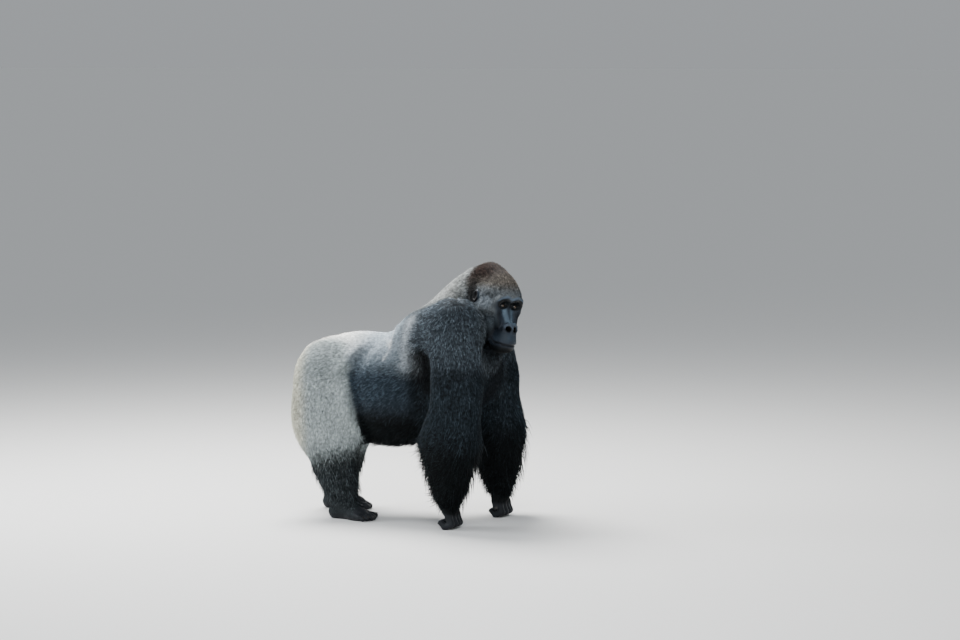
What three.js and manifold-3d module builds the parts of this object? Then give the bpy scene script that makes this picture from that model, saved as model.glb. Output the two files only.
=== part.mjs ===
// A silverback western lowland gorilla, life size, standing on its knuckles and soles with its
// head turned to its right. The solids reach out to the tips of the coat.
//
// Millimetres, +Z up. The body faces +X and its left side is +Y. The origin is on the floor,
// under the middle of the model's box.
//
// The body is one smooth field of distances, a blend of named masses. Each named part is the
// stretch of that field round its own spine, and plane cuts and sleeves part it from the next.

import * as THREE from "three";
import { mergeVertices } from "three/addons/utils/BufferGeometryUtils.js";
import Module from "manifold-3d";

const wasm = await Module();
wasm.setup();

const v = (x, y, z) => new THREE.Vector3(x, y, z);
const LEFT = 1;
const RIGHT = -1;
const GAP = 0.4; // between neighbouring parts

// ---------------------------------------------------------------- driving dimensions

const HIP = { forward: -372, aside: 118, up: 640 };
const ARM_RADIUS = { shoulder: 112, elbow: 104, wrist: 66 };
const LEG_RADIUS = { hip: 128, knee: 100, ankle: 74 };
const HAND = { spread: 31, finger: 15.5 };
const FOOT = { length: 268, width: 100, heel: 36 };
const EYE = { apart: 67, radius: 12.5, forward: -5, up: 0 };
const EAR = { aside: 101, forward: -120, up: 30, height: 58, width: 38, stand: 13 };

// Where each limb bends, in the pose: the left hand and right foot are the forward ones.
const ARM_POSE = {
  [LEFT]: {
    shoulder: v(276, 228, 870),
    elbow: v(330, 262, 462),
    wrist: v(371, 222, 120),
    hand: v(370, 214, 0),
  },
  [RIGHT]: {
    shoulder: v(342, -228, 876),
    elbow: v(346, -262, 462),
    wrist: v(309, -222, 120),
    hand: v(308, -214, 0),
  },
};
const LEG_POSE = {
  [LEFT]: { knee: v(-388, 152, 350), ankle: v(-430, 145, 88), toeOut: 12, bulk: -12 },
  [RIGHT]: { knee: v(-305, -152, 350), ankle: v(-256, -146, 88), toeOut: -10, bulk: -28 },
};

// The head's own frame has its origin midway between the eyes, +X out of the face.
const HEAD = { at: v(553, -115, 1002), turn: -31, tilt: -8, nod: 0 };

// ---------------------------------------------------------------- distance fields

// Polynomial smooth union of two distances.
function smoothMin(a, b, radius) {
  const overlap = Math.max(radius - Math.abs(a - b), 0) / radius;
  return Math.min(a, b) - (overlap * overlap * radius) / 4;
}

function blend(radius, ...fields) {
  return (p) => fields.map((f) => f(p)).reduce((a, b) => smoothMin(a, b, radius));
}

// Hollows one field out of another with a rounded edge.
function carve(radius, body, ...hollows) {
  return (p) => hollows.reduce((d, hollow) => -smoothMin(-d, hollow(p), radius), body(p));
}

// An ellipsoid, turned by degrees about X, Y and Z.
function mass(centre, radii, [rollX, pitchY, yawZ] = [0, 0, 0]) {
  const turn = new THREE.Quaternion().setFromEuler(
    new THREE.Euler(...[rollX, pitchY, yawZ].map(THREE.MathUtils.degToRad), "ZYX"),
  );
  const back = turn.invert();
  const [rx, ry, rz] = radii;
  const q = new THREE.Vector3();
  return (p) => {
    q.copy(p).sub(centre).applyQuaternion(back);
    const k0 = Math.hypot(q.x / rx, q.y / ry, q.z / rz);
    const k1 = Math.hypot(q.x / rx ** 2, q.y / ry ** 2, q.z / rz ** 2);
    return k1 === 0 ? -Math.min(rx, ry, rz) : (k0 * (k0 - 1)) / k1;
  };
}

// A cone with round ends, from a to b.
function cone(a, b, radiusA, radiusB) {
  const axis = b.clone().sub(a);
  const length2 = axis.lengthSq();
  const q = new THREE.Vector3();
  return (p) => {
    const t = THREE.MathUtils.clamp(q.copy(p).sub(a).dot(axis) / length2, 0, 1);
    return q.copy(axis).multiplyScalar(t).add(a).distanceTo(p) - THREE.MathUtils.lerp(radiusA, radiusB, t);
  };
}

// A long body along one axis, given at stations along it by how far it reaches to its low and
// its high side, and by its half width in Y. The trunk lies along X, the crown stands along Z.
function loft(along, across, stations, squareness) {
  const curve = (key) => {
    const c = new THREE.CatmullRomCurve3(stations.map((s) => v(s.at, s[key], 0)));
    return (t) => c.getPoint(t).y;
  };
  const [low, high, half] = ["low", "high", "half"].map(curve);
  const share = (x) => {
    const i = Math.max(1, stations.findIndex((s) => s.at >= x));
    const [a, b] = [stations[i - 1], stations[i]];
    return (i - 1 + (x - a.at) / (b.at - a.at)) / (stations.length - 1);
  };
  return (p) => {
    const x = THREE.MathUtils.clamp(p[along], stations[0].at, stations.at(-1).at);
    const t = share(x);
    const [from, to, wide] = [low(t), high(t), half(t)];
    const deep = (to - from) / 2;
    const u = Math.abs(p[across] - (from + to) / 2) / deep;
    const w = Math.abs(p.y) / wide;
    const out = ((u ** squareness + w ** squareness) ** (1 / squareness) - 1) * Math.min(deep, wide);
    return p[along] === x ? out : Math.hypot(Math.max(out, 0), p[along] - x);
  };
}

// ---------------------------------------------------------------- the body's masses

const hipAt = (side) => v(HIP.forward, side * HIP.aside, HIP.up);
const between = (a, b, t) => a.clone().lerp(b, t);
const both = (make) => [make(LEFT), make(RIGHT)];

const torso = loft(
  "x",
  "z",
  [
    { at: -490, low: 540, high: 700, half: 60 },
    { at: -450, low: 470, high: 755, half: 125 },
    { at: -380, low: 425, high: 812, half: 170 },
    { at: -290, low: 392, high: 848, half: 200 },
    { at: -200, low: 352, high: 856, half: 228 },
    { at: -110, low: 336, high: 850, half: 246 },
    { at: -20, low: 336, high: 884, half: 256 },
    { at: 70, low: 352, high: 948, half: 256 },
    { at: 160, low: 385, high: 985, half: 238 },
    { at: 270, low: 450, high: 985, half: 195 },
    { at: 360, low: 530, high: 930, half: 145 },
    { at: 420, low: 640, high: 850, half: 60 },
  ],
  2.25,
);

const trunkMasses = blend(
  50,
  torso,
  ...both((side) => mass(v(-374, side * 100, 655), [142, 110, 180], [0, 8, 0])),
  ...both((side) => mass(v(190, side * 138, 880), [185, 108, 118], [side * -10, -14, 0])),
  ...both((side) => mass(v(212, side * 184, 820), [124, 96, 140])),
  ...both((side) => cone(v(262, side * 62, 950), v(306, side * 170, 930), 92, 96)),
  ...both((side) => mass(v(330, side * 95, 680), [112, 100, 150])),
);

const headTurn = new THREE.Group();
headTurn.position.copy(HEAD.at);
headTurn.rotation.set(
  THREE.MathUtils.degToRad(HEAD.tilt),
  THREE.MathUtils.degToRad(HEAD.nod),
  THREE.MathUtils.degToRad(HEAD.turn),
  "ZYX",
);
headTurn.updateMatrixWorld(true);
const fromHead = (x, y, z) => headTurn.localToWorld(v(x, y, z));

// The head in its own frame. The crown rises from the ears to the tall crest.
const crown = loft(
  "z",
  "x",
  [
    { at: -70, low: -165, high: -40, half: 66 },
    { at: -45, low: -184, high: -18, half: 84 },
    { at: 0, low: -200, high: -4, half: 91 },
    { at: 45, low: -208, high: 22, half: 94 },
    { at: 88, low: -213, high: 2, half: 81 },
    { at: 110, low: -215, high: -16, half: 68 },
    { at: 128, low: -216, high: -40, half: 57 },
    { at: 146, low: -215, high: -67, half: 46 },
    { at: 164, low: -212, high: -97, half: 35 },
    { at: 180, low: -205, high: -128, half: 25 },
    { at: 191, low: -190, high: -152, half: 12 },
  ],
  2,
);

const faceMasses = carve(
  8,
  blend(
    15,
    crown,
    mass(v(-52, 0, -62), [50, 58, 100]),
    ...both((side) => cone(v(9, 0, 29), v(12, side * 32, 34), 13, 15)),
    ...both((side) => cone(v(12, side * 32, 34), v(0, side * 56, 22), 15, 14)),
    ...both((side) => cone(v(0, side * 56, 22), v(-34, side * 72, 8), 14, 16)),
    ...both((side) => cone(v(-12, side * 58, -20), v(-66, side * 76, -22), 18, 28)),
    ...both((side) => cone(v(-14, side * 54, -26), v(-6, side * 34, -88), 18, 20)),
    ...both((side) => mass(v(-78, side * 58, -18), [58, 40, 62])),
    ...both((side) => mass(v(-86, side * 58, -92), [60, 36, 84])),
    cone(v(-24, 0, 6), v(16, 0, -80), 12, 20),
    mass(v(4, 0, -130), [49, 43, 44]),
    mass(v(5, 0, -157), [52, 42, 22]),
    mass(v(-3, 0, -186), [48, 37, 24]),
    mass(v(-44, 0, -150), [50, 50, 60]),
  ),
  ...both((side) => mass(v(26, (side * EYE.apart) / 2, -2), [23, 24, 16])),
);
const nose = blend(
  8,
  mass(v(34, 0, -94), [17, 15, 15]),
  ...both((side) => mass(v(32, side * 18, -99), [16, 14, 14])),
);
const headLocal = blend(7, faceMasses, nose);
const headPoint = new THREE.Vector3();
const head = (p) => headLocal(headTurn.worldToLocal(headPoint.copy(p)));

// The neck runs from between the shoulders into the back of the head, as thick as the head.
const neck = blend(
  40,
  cone(v(176, 0, 890), v(304, -16, 1006), 112, 108),
  cone(v(304, -16, 1006), fromHead(-165, 0, 86), 108, 100),
  cone(v(215, 0, 820), fromHead(-120, 0, 0), 140, 100),
  cone(v(335, -10, 715), fromHead(-92, 0, -105), 118, 74),
);

function armMasses(side) {
  const { shoulder, elbow, wrist } = ARM_POSE[side];
  return blend(
    40,
    mass(shoulder.clone().add(v(8, side * 6, 26)), [140, 106, 146]),
    cone(shoulder, elbow, ARM_RADIUS.shoulder, ARM_RADIUS.elbow),
    mass(between(shoulder, elbow, 0.58).add(v(20, 0, 0)), [126, 100, 190]),
    mass(between(elbow, wrist, 0.17).add(v(-10, 0, 0)), [156, 112, 168]),
    cone(between(elbow, wrist, 0.32), wrist, 118, ARM_RADIUS.wrist),
  );
}

function legMasses(side) {
  const { knee, ankle } = LEG_POSE[side];
  const hip = hipAt(side);
  return blend(
    40,
    cone(hip, knee, LEG_RADIUS.hip, LEG_RADIUS.knee),
    mass(between(hip, knee, 0.58).add(v(LEG_POSE[side].bulk, 0, 0)), [172, 114, 228]),
    cone(knee, ankle, LEG_RADIUS.knee, LEG_RADIUS.ankle),
    mass(between(knee, ankle, 0.35).add(v(-18, 0, 0)), [104, 92, 130]),
  );
}

const arms = { [LEFT]: armMasses(LEFT), [RIGHT]: armMasses(RIGHT) };
const legs = { [LEFT]: legMasses(LEFT), [RIGHT]: legMasses(RIGHT) };
const limbs = blend(55, trunkMasses, arms[LEFT], arms[RIGHT], legs[LEFT], legs[RIGHT]);
const headAndNeck = blend(36, neck, head);
const body = blend(24, blend(60, limbs, neck), head);

// ---------------------------------------------------------------- from field to solid

// What a part may take of the body: the stretch within a margin of its own masses.
const portion = (own, margin) => (p) => Math.max(body(p), own(p) - margin);
const grown = (own, margin) => (p) => own(p) - margin;

// The distance from a point inside a field to its surface, along a direction.
function reachOf(field, from, direction, furthest) {
  const p = new THREE.Vector3();
  let inside = 0;
  let outside = 0;
  for (let step = 0; step < 90; step += 1) {
    const d = field(p.copy(direction).multiplyScalar(outside).add(from));
    if (d > 0) break;
    inside = outside;
    outside = Math.min(outside + Math.max(-d * 0.7, 2), furthest);
    if (inside >= furthest) return furthest;
  }
  for (let halving = 0; halving < 14; halving += 1) {
    const middle = (inside + outside) / 2;
    if (field(p.copy(direction).multiplyScalar(middle).add(from)) > 0) outside = middle;
    else inside = middle;
  }
  return Math.max(inside, 1);
}

// A closed skin round a spine: rings of rays walked out to the field's surface. Each end is
// closed by a point: on the ring's own plane where that end is flat, else on the surface ahead
// of it. `spread` bends the even spacing of the rays, so that they crowd where they should.
function wrap(field, { stations, flat = [false, false], ahead, sides, furthest, spread = (turn) => turn }) {
  const points = [];
  for (const { centre, normal } of stations) {
    const forward = ahead.clone().projectOnPlane(normal).normalize();
    const sideways = normal.clone().cross(forward);
    for (let k = 0; k < sides; k += 1) {
      const angle = spread((2 * Math.PI * k) / sides);
      const ray = forward.clone().multiplyScalar(Math.cos(angle));
      ray.addScaledVector(sideways, Math.sin(angle));
      points.push(ray.multiplyScalar(reachOf(field, centre, ray, furthest)).add(centre));
    }
  }
  const pole = ({ centre, normal }, sign, isFlat) => {
    const out = normal.clone().multiplyScalar(sign);
    return isFlat ? centre.clone() : out.multiplyScalar(reachOf(field, centre, out, furthest)).add(centre);
  };
  const [first, last] = [points.length, points.length + 1];
  points.push(pole(stations[0], -1, flat[0]), pole(stations.at(-1), 1, flat[1]));
  const index = [];
  for (let k = 0; k < sides; k += 1) {
    const next = (k + 1) % sides;
    index.push(first, next, k);
    for (let i = 0; i + 1 < stations.length; i += 1) {
      const [low, high] = [i * sides, (i + 1) * sides];
      index.push(low + k, low + next, high + next, low + k, high + next, high + k);
    }
    const top = (stations.length - 1) * sides;
    index.push(last, top + k, top + next);
  }
  const geometry = new THREE.BufferGeometry().setFromPoints(points);
  geometry.setIndex(index);
  return geometry;
}

// Ring places along a line, which may bend through a middle point. Each end either stops at a
// joint's plane, given by the direction of travel through it, or runs out almost to the field's
// surface. `crowd` spaces the rings.
function spineOf(field, from, to, rings, { start, end, via, crowd = (t) => t, furthest = 420 } = {}) {
  const axis = (via ?? to).clone().sub(from).normalize();
  const out = axis.clone().negate();
  const low = start
    ? from.clone().addScaledVector(start, GAP / 2)
    : from.clone().addScaledVector(out, 0.985 * reachOf(field, from, out, furthest));
  const high = end
    ? to.clone().addScaledVector(end, -GAP / 2)
    : to.clone().addScaledVector(axis, 0.985 * reachOf(field, to, axis, furthest));
  const line = new THREE.CatmullRomCurve3(via ? [low, via, high] : [low, high]);
  const stations = [];
  for (let i = 0; i < rings; i += 1) {
    const share = crowd(i / (rings - 1));
    const normal = between(start ?? axis, end ?? axis, share).normalize();
    stations.push({ centre: line.getPointAt(share), normal });
  }
  return { stations, flat: [Boolean(start), Boolean(end)] };
}

function toSolid(geometry) {
  const bare = geometry.index ? geometry.clone() : geometry;
  bare.deleteAttribute("normal");
  bare.deleteAttribute("uv");
  const merged = mergeVertices(bare, 1e-3);
  return new wasm.Manifold(
    new wasm.Mesh({
      numProp: 3,
      vertProperties: new Float32Array(merged.attributes.position.array),
      triVerts: new Uint32Array(merged.index.array),
    }),
  );
}

function toGeometry(solid) {
  const { vertProperties, triVerts } = solid.getMesh();
  const geometry = new THREE.BufferGeometry();
  geometry.setAttribute("position", new THREE.BufferAttribute(vertProperties, 3));
  geometry.setIndex(new THREE.BufferAttribute(triVerts, 1));
  geometry.computeVertexNormals();
  return geometry;
}

// Everything behind a plane, as a solid to cut away. It starts half a gap before the plane.
function behind(point, normal) {
  const size = 3000;
  const slab = new THREE.Mesh(new THREE.BoxGeometry(size, size, size));
  slab.position.copy(point).addScaledVector(normal.clone().normalize(), (size - GAP) / 2);
  slab.quaternion.setFromUnitVectors(v(1, 0, 0), normal.clone().normalize());
  slab.updateMatrixWorld(true);
  return toSolid(slab.geometry.clone().applyMatrix4(slab.matrixWorld));
}

// Cuts a solid off at planes, each given as [point, normal pointing at what is removed].
const trim = (solid, ...planes) =>
  planes.reduce((left, [point, normal]) => left.subtract(behind(point, normal)), solid);

const flip = ([point, normal]) => [point, normal.clone().negate()];

// ---------------------------------------------------------------- cuts between parts

const DOWN = v(0, 0, -1);
const floorCut = [v(0, 0, -GAP / 2), DOWN];
const NECK = {
  root: v(292, -10, 900),
  leaving: v(0.78, -0.06, 0.62).normalize(),
  top: fromHead(-145, 0, -60),
  arriving: fromHead(1, 0, 0.62).sub(HEAD.at).normalize(),
};
const headCut = [NECK.top, NECK.arriving.clone().negate()];
const wristCut = (side) => [ARM_POSE[side].wrist, DOWN];
const ankleCut = (side) => [LEG_POSE[side].ankle, DOWN];

// ---------------------------------------------------------------- the parts

const SLEEVE = 16; // how far past its own masses a limb reaches into the blend with the trunk

function trunkSolid() {
  const own = portion(blend(60, trunkMasses, neck), 80);
  const spine = spineOf(own, v(-420, 0, 625), NECK.root, 20, {
    end: NECK.leaving,
    via: v(-20, 0, 650),
    crowd: (t) => t - 0.06 * Math.sin(2 * Math.PI * t),
  });
  return toSolid(wrap(own, { ...spine, ahead: v(0, 0, 1), sides: 20, furthest: 460 }));
}

// One limb's upper stretch, which ends at the joint, with the cutter that parts it from the
// trunk. The cutter runs on down the limb towards the next joint.
function rootOfLimb(own, from, to, next, rings, sides, ...cuts) {
  const crowd = (t) => t ** 1.3;
  const { stations, flat } = spineOf(grown(own, SLEEVE), from, to, rings, { end: DOWN, crowd });
  const further = [0.3, 0.6].map((t) => ({ centre: between(to, next, t), normal: DOWN }));
  const shape = (field, rings) =>
    toSolid(wrap(field, { stations: rings, flat, ahead: v(1, 0, 0), sides, furthest: 260 }));
  const solid = shape(portion(own, 70), stations).intersect(shape(grown(own, SLEEVE), stations));
  const cutter = shape(grown(own, SLEEVE + GAP), [...stations, ...further]);
  const wider = cuts.map(([point, normal]) => [point.clone().addScaledVector(normal, GAP), normal]);
  return { solid: trim(solid, ...cuts), cutter: trim(cutter, ...wider) };
}

// A limb's lower stretch, from one joint's plane to the next.
function stretch(own, from, to, start, end, rings, sides) {
  const field = portion(own, 70);
  const spine = spineOf(field, from, to, rings, { start, end });
  return toSolid(wrap(field, { ...spine, ahead: v(1, 0, 0), sides, furthest: 260 }));
}

// A finger or toe: rings along a bent path of round cones.
function digit(path, radii, rings, sides) {
  const field = blend(6, ...path.slice(1).map((b, i) => cone(path[i], b, radii[i], radii[i + 1])));
  const curve = new THREE.CatmullRomCurve3(path, false, "chordal");
  const stations = [];
  for (let i = 0; i < rings; i += 1) {
    const t = i / (rings - 1);
    stations.push({ centre: curve.getPointAt(t), normal: curve.getTangentAt(t) });
  }
  const turned = stations[0].normal.clone().cross(v(0, 1, 0));
  return toSolid(wrap(field, { stations, ahead: turned.add(v(0, 0.3, 0)), sides, furthest: 60 }));
}

// The hand walks on the backs of its middle finger bones, with the palm to the rear.
function handSolid(side) {
  const { wrist, hand } = ARM_POSE[side];
  const at = (x, y, z) => v(hand.x + x, hand.y + side * y, z);
  const { spread, finger } = HAND;
  const palm = blend(
    24,
    cone(wrist.clone().add(v(0, 0, 24)), at(0, 0, 92), 60, 44),
    mass(at(2, 0, 84), [32, 62, 34]),
  );
  const spine = spineOf(palm, at(0, 0, 84), wrist, 4);
  const parts = [toSolid(wrap(palm, { ...spine, ahead: v(1, 0, 0), sides: 10, furthest: 120 }))];
  for (let i = 0; i < 4; i += 1) {
    const y = (i - 1.5) * spread;
    const short = i === 0 || i === 3 ? 5 : 0;
    const path = [at(6, y * 0.9, 84), at(32 - short, y, 24), at(-2, y, 10), at(-28 + short, y, 30)];
    parts.push(digit(path, [21, finger + 1, finger, finger - 2], 5, 6));
  }
  parts.push(digit([at(-6, -44, 108), at(0, -68, 78), at(4, -70, 48)], [20, 15, 12], 4, 6));
  return trim(wasm.Manifold.union(parts), floorCut, flip(wristCut(side)));
}

// The foot stands flat, with a thumb-like great toe set wide on its inner side.
function footSolid(side) {
  const { ankle, toeOut } = LEG_POSE[side];
  const turn = v(0, 0, 1);
  const angle = THREE.MathUtils.degToRad(toeOut);
  const at = (x, y, z) =>
    v(x, side * y, 0).applyAxisAngle(turn, angle).add(v(ankle.x, ankle.y, z));
  const { length, width, heel } = FOOT;
  const heelBack = -length * 0.28;
  const ball = length * 0.42;
  const sole = blend(
    26,
    cone(ankle.clone().add(v(0, 0, 30)), at(heelBack + heel, 0, heel - 2), 60, heel),
    cone(at(heelBack + heel, 0, heel - 4), at(ball - 20, 6, 24), heel, 30),
    cone(ankle, at(ball - 24, 2, 28), 50, 30),
    mass(at(ball - 34, 0, 26), [52, width / 2, 28], [0, 0, toeOut]),
  );
  const middle = at(10, 0, 40);
  const spine = spineOf(sole, middle, ankle, 5, { furthest: 120 });
  const ahead = at(1, 0, 0).sub(at(0, 0, 0));
  const parts = [toSolid(wrap(sole, { ...spine, ahead, sides: 13, furthest: 190 }))];
  for (let toe = 0; toe < 4; toe += 1) {
    const y = width * (0.4 - toe * 0.235);
    const reach = ball + 44 - Math.abs(toe - 2.2) * 9;
    const path = [at(ball - 20, y * 0.9, 22), at(reach - 16, y, 20), at(reach + 2, y, 13)];
    parts.push(digit(path, [16, 13, 12], 4, 6));
  }
  const inner = -width * 0.4;
  const thumb = [at(ball - 78, inner, 26), at(ball - 34, inner - 22, 22), at(ball + 12, inner - 36, 16)];
  parts.push(digit(thumb, [24, 18, 15], 4, 7));
  return trim(wasm.Manifold.union(parts), floorCut, flip(ankleCut(side)));
}

// Level rings from under the chin to the crest, crowded on the face.
function headSolid(rings, sides, growth = 0) {
  const world = new THREE.Vector3();
  const field = (p) => {
    world.copy(p);
    return Math.max(headAndNeck(headTurn.localToWorld(world)), headLocal(p) - 40) - growth;
  };
  const middle = new THREE.CatmullRomCurve3([
    v(-6, 0, -212),
    v(-44, 0, -172),
    v(-70, 0, -110),
    v(-92, 0, 0),
    v(-122, 0, 100),
    v(-172, 0, 193),
  ]);
  const stations = [];
  for (let i = 0; i < rings; i += 1) {
    const share = i / (rings - 1);
    const climb = share < 0.72 ? share * 0.89 : 1 - (1 - share) * 1.283;
    const centre = middle.getPointAt(0.012 + 0.976 * climb);
    stations.push({ centre, normal: v(0, 0, 1) });
  }
  const geometry = wrap(field, {
    stations,
    ahead: v(1, 0, 0),
    sides,
    furthest: 230,
    spread: (turn) => turn - 0.5 * Math.sin(turn),
  });
  return toSolid(geometry.applyMatrix4(headTurn.matrixWorld));
}

// A round body of the given half sizes, turned by degrees, in the head's frame.
function pebble(centre, radii, turn, [around, down]) {
  const shape = new THREE.Mesh(new THREE.SphereGeometry(1, around, down));
  shape.position.copy(centre);
  shape.rotation.set(...turn.map(THREE.MathUtils.degToRad), "ZYX");
  shape.scale.set(...radii);
  shape.updateMatrix();
  return toSolid(shape.geometry.clone().applyMatrix4(shape.matrix).applyMatrix4(headTurn.matrixWorld));
}

const eyeSolid = (side, radius) =>
  pebble(v(EYE.forward, (side * EYE.apart) / 2, EYE.up), [radius, radius, radius], [0, 0, 0], [10, 7]);

// The ear is a low cup standing off the side of the head, its hollow facing out and forward.
const EAR_TURN = (side) => [side * 8, 10, side * 18];

function earSolid(side, growth) {
  const { aside, forward, up, height, width, stand } = EAR;
  const [deep, tall] = [width / 2 + growth, height / 2 + growth];
  return pebble(v(forward, side * aside, up), [deep, stand + growth, tall], EAR_TURN(side), [9, 6]);
}

function earHollow(side) {
  const { aside, forward, up, height, width, stand } = EAR;
  const centre = v(forward + 2, side * (aside + stand), up + 2);
  return pebble(centre, [width * 0.32, stand * 0.75, height * 0.36], EAR_TURN(side), [7, 5]);
}

function neckSolid() {
  const field = portion(blend(60, trunkMasses, neck), 80);
  const spine = spineOf(field, NECK.root, NECK.top, 6, { start: NECK.leaving, end: NECK.arriving });
  return toSolid(wrap(field, { ...spine, ahead: v(0, 0, 1), sides: 20, furthest: 460 }));
}

const SKIN = {
  silver: new THREE.MeshStandardMaterial({ color: 0x9da3a3, roughness: 0.9 }),
  black: new THREE.MeshStandardMaterial({ color: 0x2a2c2f, roughness: 0.9 }),
  grey: new THREE.MeshStandardMaterial({ color: 0x54585b, roughness: 0.9 }),
  brown: new THREE.MeshStandardMaterial({ color: 0x5a4a42, roughness: 0.85 }),
  bare: new THREE.MeshStandardMaterial({ color: 0x23252a, roughness: 0.55 }),
  eye: new THREE.MeshStandardMaterial({ color: 0x2b1a10, roughness: 0.1 }),
};

const gorilla = new THREE.Group();

function show(name, solid, material) {
  const mesh = new THREE.Mesh(toGeometry(solid), material);
  mesh.name = name;
  gorilla.add(mesh);
}

// Where two parts meet, the first made keeps its surface and the later ones are cut back.
const headCutter = headSolid(13, 16, 12);
let headPart = trim(headSolid(25, 27), headCut);
let trunk = trunkSolid();
let neckPart = neckSolid();
for (const side of [LEFT, RIGHT]) {
  const { shoulder, elbow, wrist } = ARM_POSE[side];
  const { knee, ankle } = LEG_POSE[side];
  const inner = [v(0, side * 4, 0), v(0, -side, 0)];
  const upperArm = rootOfLimb(arms[side], shoulder, elbow, wrist, 9, 14);
  const thigh = rootOfLimb(legs[side], hipAt(side), knee, ankle, 9, 14, inner);
  trunk = trunk.subtract(upperArm.cutter).subtract(thigh.cutter);
  neckPart = neckPart.subtract(upperArm.cutter);
  headPart = headPart.subtract(eyeSolid(side, EYE.radius + GAP)).subtract(earSolid(side, GAP));
  const forearm = stretch(arms[side], elbow, wrist, DOWN, DOWN, 7, 14);
  const shank = stretch(legs[side], knee, ankle, DOWN, DOWN, 6, 14);
  const name = side === LEFT ? "left" : "right";
  show("upper_arm_" + name, upperArm.solid.subtract(headCutter), SKIN.grey);
  show("forearm_" + name, forearm, SKIN.black);
  show("hand_" + name, handSolid(side), SKIN.bare);
  show("thigh_" + name, thigh.solid, SKIN.silver);
  show("shank_" + name, shank, SKIN.grey);
  show("foot_" + name, footSolid(side), SKIN.bare);
  show("ear_" + name, earSolid(side, 0).subtract(earHollow(side)), SKIN.bare);
  show("eye_" + name, eyeSolid(side, EYE.radius), SKIN.eye);
}
show("trunk", trunk, SKIN.silver);
show("neck", neckPart, SKIN.grey);
show("head", headPart, SKIN.brown);

const centre = new THREE.Box3().setFromObject(gorilla).getCenter(new THREE.Vector3());
for (const part of gorilla.children) part.geometry.translate(-centre.x, -centre.y, 0);

export default gorilla;
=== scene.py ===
"""A silverback western lowland gorilla, life size: skin, coat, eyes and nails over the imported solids.

Metres, +Z up, the body faces +X and its left side is +Y. The head has a frame of its own, in
millimetres, with its origin midway between the eyes and +X out of the face.
"""
import math
import time

import bmesh
import bpy
import numpy as np
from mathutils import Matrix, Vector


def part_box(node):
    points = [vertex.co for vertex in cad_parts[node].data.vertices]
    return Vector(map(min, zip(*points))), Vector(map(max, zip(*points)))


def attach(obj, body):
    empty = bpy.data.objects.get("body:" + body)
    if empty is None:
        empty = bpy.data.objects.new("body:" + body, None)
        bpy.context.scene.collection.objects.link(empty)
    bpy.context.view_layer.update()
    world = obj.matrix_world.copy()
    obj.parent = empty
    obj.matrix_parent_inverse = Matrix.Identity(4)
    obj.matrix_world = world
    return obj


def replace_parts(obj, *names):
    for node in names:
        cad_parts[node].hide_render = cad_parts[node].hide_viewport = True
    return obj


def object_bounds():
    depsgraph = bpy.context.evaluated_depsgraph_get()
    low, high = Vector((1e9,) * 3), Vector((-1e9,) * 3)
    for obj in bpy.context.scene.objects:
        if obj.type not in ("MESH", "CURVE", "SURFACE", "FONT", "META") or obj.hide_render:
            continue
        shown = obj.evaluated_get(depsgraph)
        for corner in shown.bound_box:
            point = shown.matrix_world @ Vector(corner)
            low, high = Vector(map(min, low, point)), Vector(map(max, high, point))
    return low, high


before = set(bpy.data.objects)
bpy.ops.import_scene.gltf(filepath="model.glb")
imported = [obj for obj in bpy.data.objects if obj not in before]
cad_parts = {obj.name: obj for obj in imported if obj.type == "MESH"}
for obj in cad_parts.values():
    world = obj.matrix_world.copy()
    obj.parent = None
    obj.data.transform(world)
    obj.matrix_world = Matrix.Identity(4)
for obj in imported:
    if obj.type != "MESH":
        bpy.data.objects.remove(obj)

import openvdb as vdb
from mathutils import Vector

CLOCK = time.time()
CAD_BOX = [[float(c) for c in corner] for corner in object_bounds()]
RIGHT, LEFT = -1, 1
SIDES = {LEFT: "left", RIGHT: "right"}
MM = 0.001


# ------------------------------------------------------------------ camera

LOOK_AT = Vector((0.2526, 0.2071, 0.9050))
AZIMUTH, ELEVATION, DISTANCE = 24.0, 5.0, 14.0

away = Vector((
    math.sin(math.radians(AZIMUTH)) * math.cos(math.radians(ELEVATION)),
    -math.cos(math.radians(AZIMUTH)) * math.cos(math.radians(ELEVATION)),
    math.sin(math.radians(ELEVATION)),
))
camera_data = bpy.data.cameras.new("camera")
camera_data.lens = 114.1
camera_data.sensor_width = 36.0
camera_data.clip_end = 1000.0
camera = bpy.data.objects.new("camera", camera_data)
camera.location = LOOK_AT + DISTANCE * away
camera.rotation_euler = (-away).to_track_quat("-Z", "Y").to_euler()
bpy.context.scene.collection.objects.link(camera)
bpy.context.scene.camera = camera


# ------------------------------------------------------------------ small tools

def log(words):
    print(f"[{time.time() - CLOCK:6.1f} s] {words}", flush=True)


def smooth(low, high, x):
    """0 below low, 1 above high, an S curve between; low may be above high."""
    t = np.clip((x - low) / (high - low), 0.0, 1.0)
    return t * t * (3.0 - 2.0 * t)


def unit(v):
    return v / np.maximum(np.linalg.norm(v, axis=-1, keepdims=True), 1e-9)


def join(a, b, radius):
    """Smooth union of two fields."""
    overlap = np.maximum(radius - np.abs(a - b), 0.0) / radius
    return np.minimum(a, b) - overlap * overlap * radius / 4.0


def cut(body, hollow, radius):
    """The first field with the second cut out of it, the edge rounded."""
    return -join(-body, hollow, radius)


def turned(roll=0.0, pitch=0.0, yaw=0.0):
    """A rotation matrix from degrees about X, then Y, then Z."""
    a, b, c = (math.radians(t) for t in (roll, pitch, yaw))
    rx = np.array([[1, 0, 0], [0, math.cos(a), -math.sin(a)], [0, math.sin(a), math.cos(a)]])
    ry = np.array([[math.cos(b), 0, math.sin(b)], [0, 1, 0], [-math.sin(b), 0, math.cos(b)]])
    rz = np.array([[math.cos(c), -math.sin(c), 0], [math.sin(c), math.cos(c), 0], [0, 0, 1]])
    return rz @ ry @ rx


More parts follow.
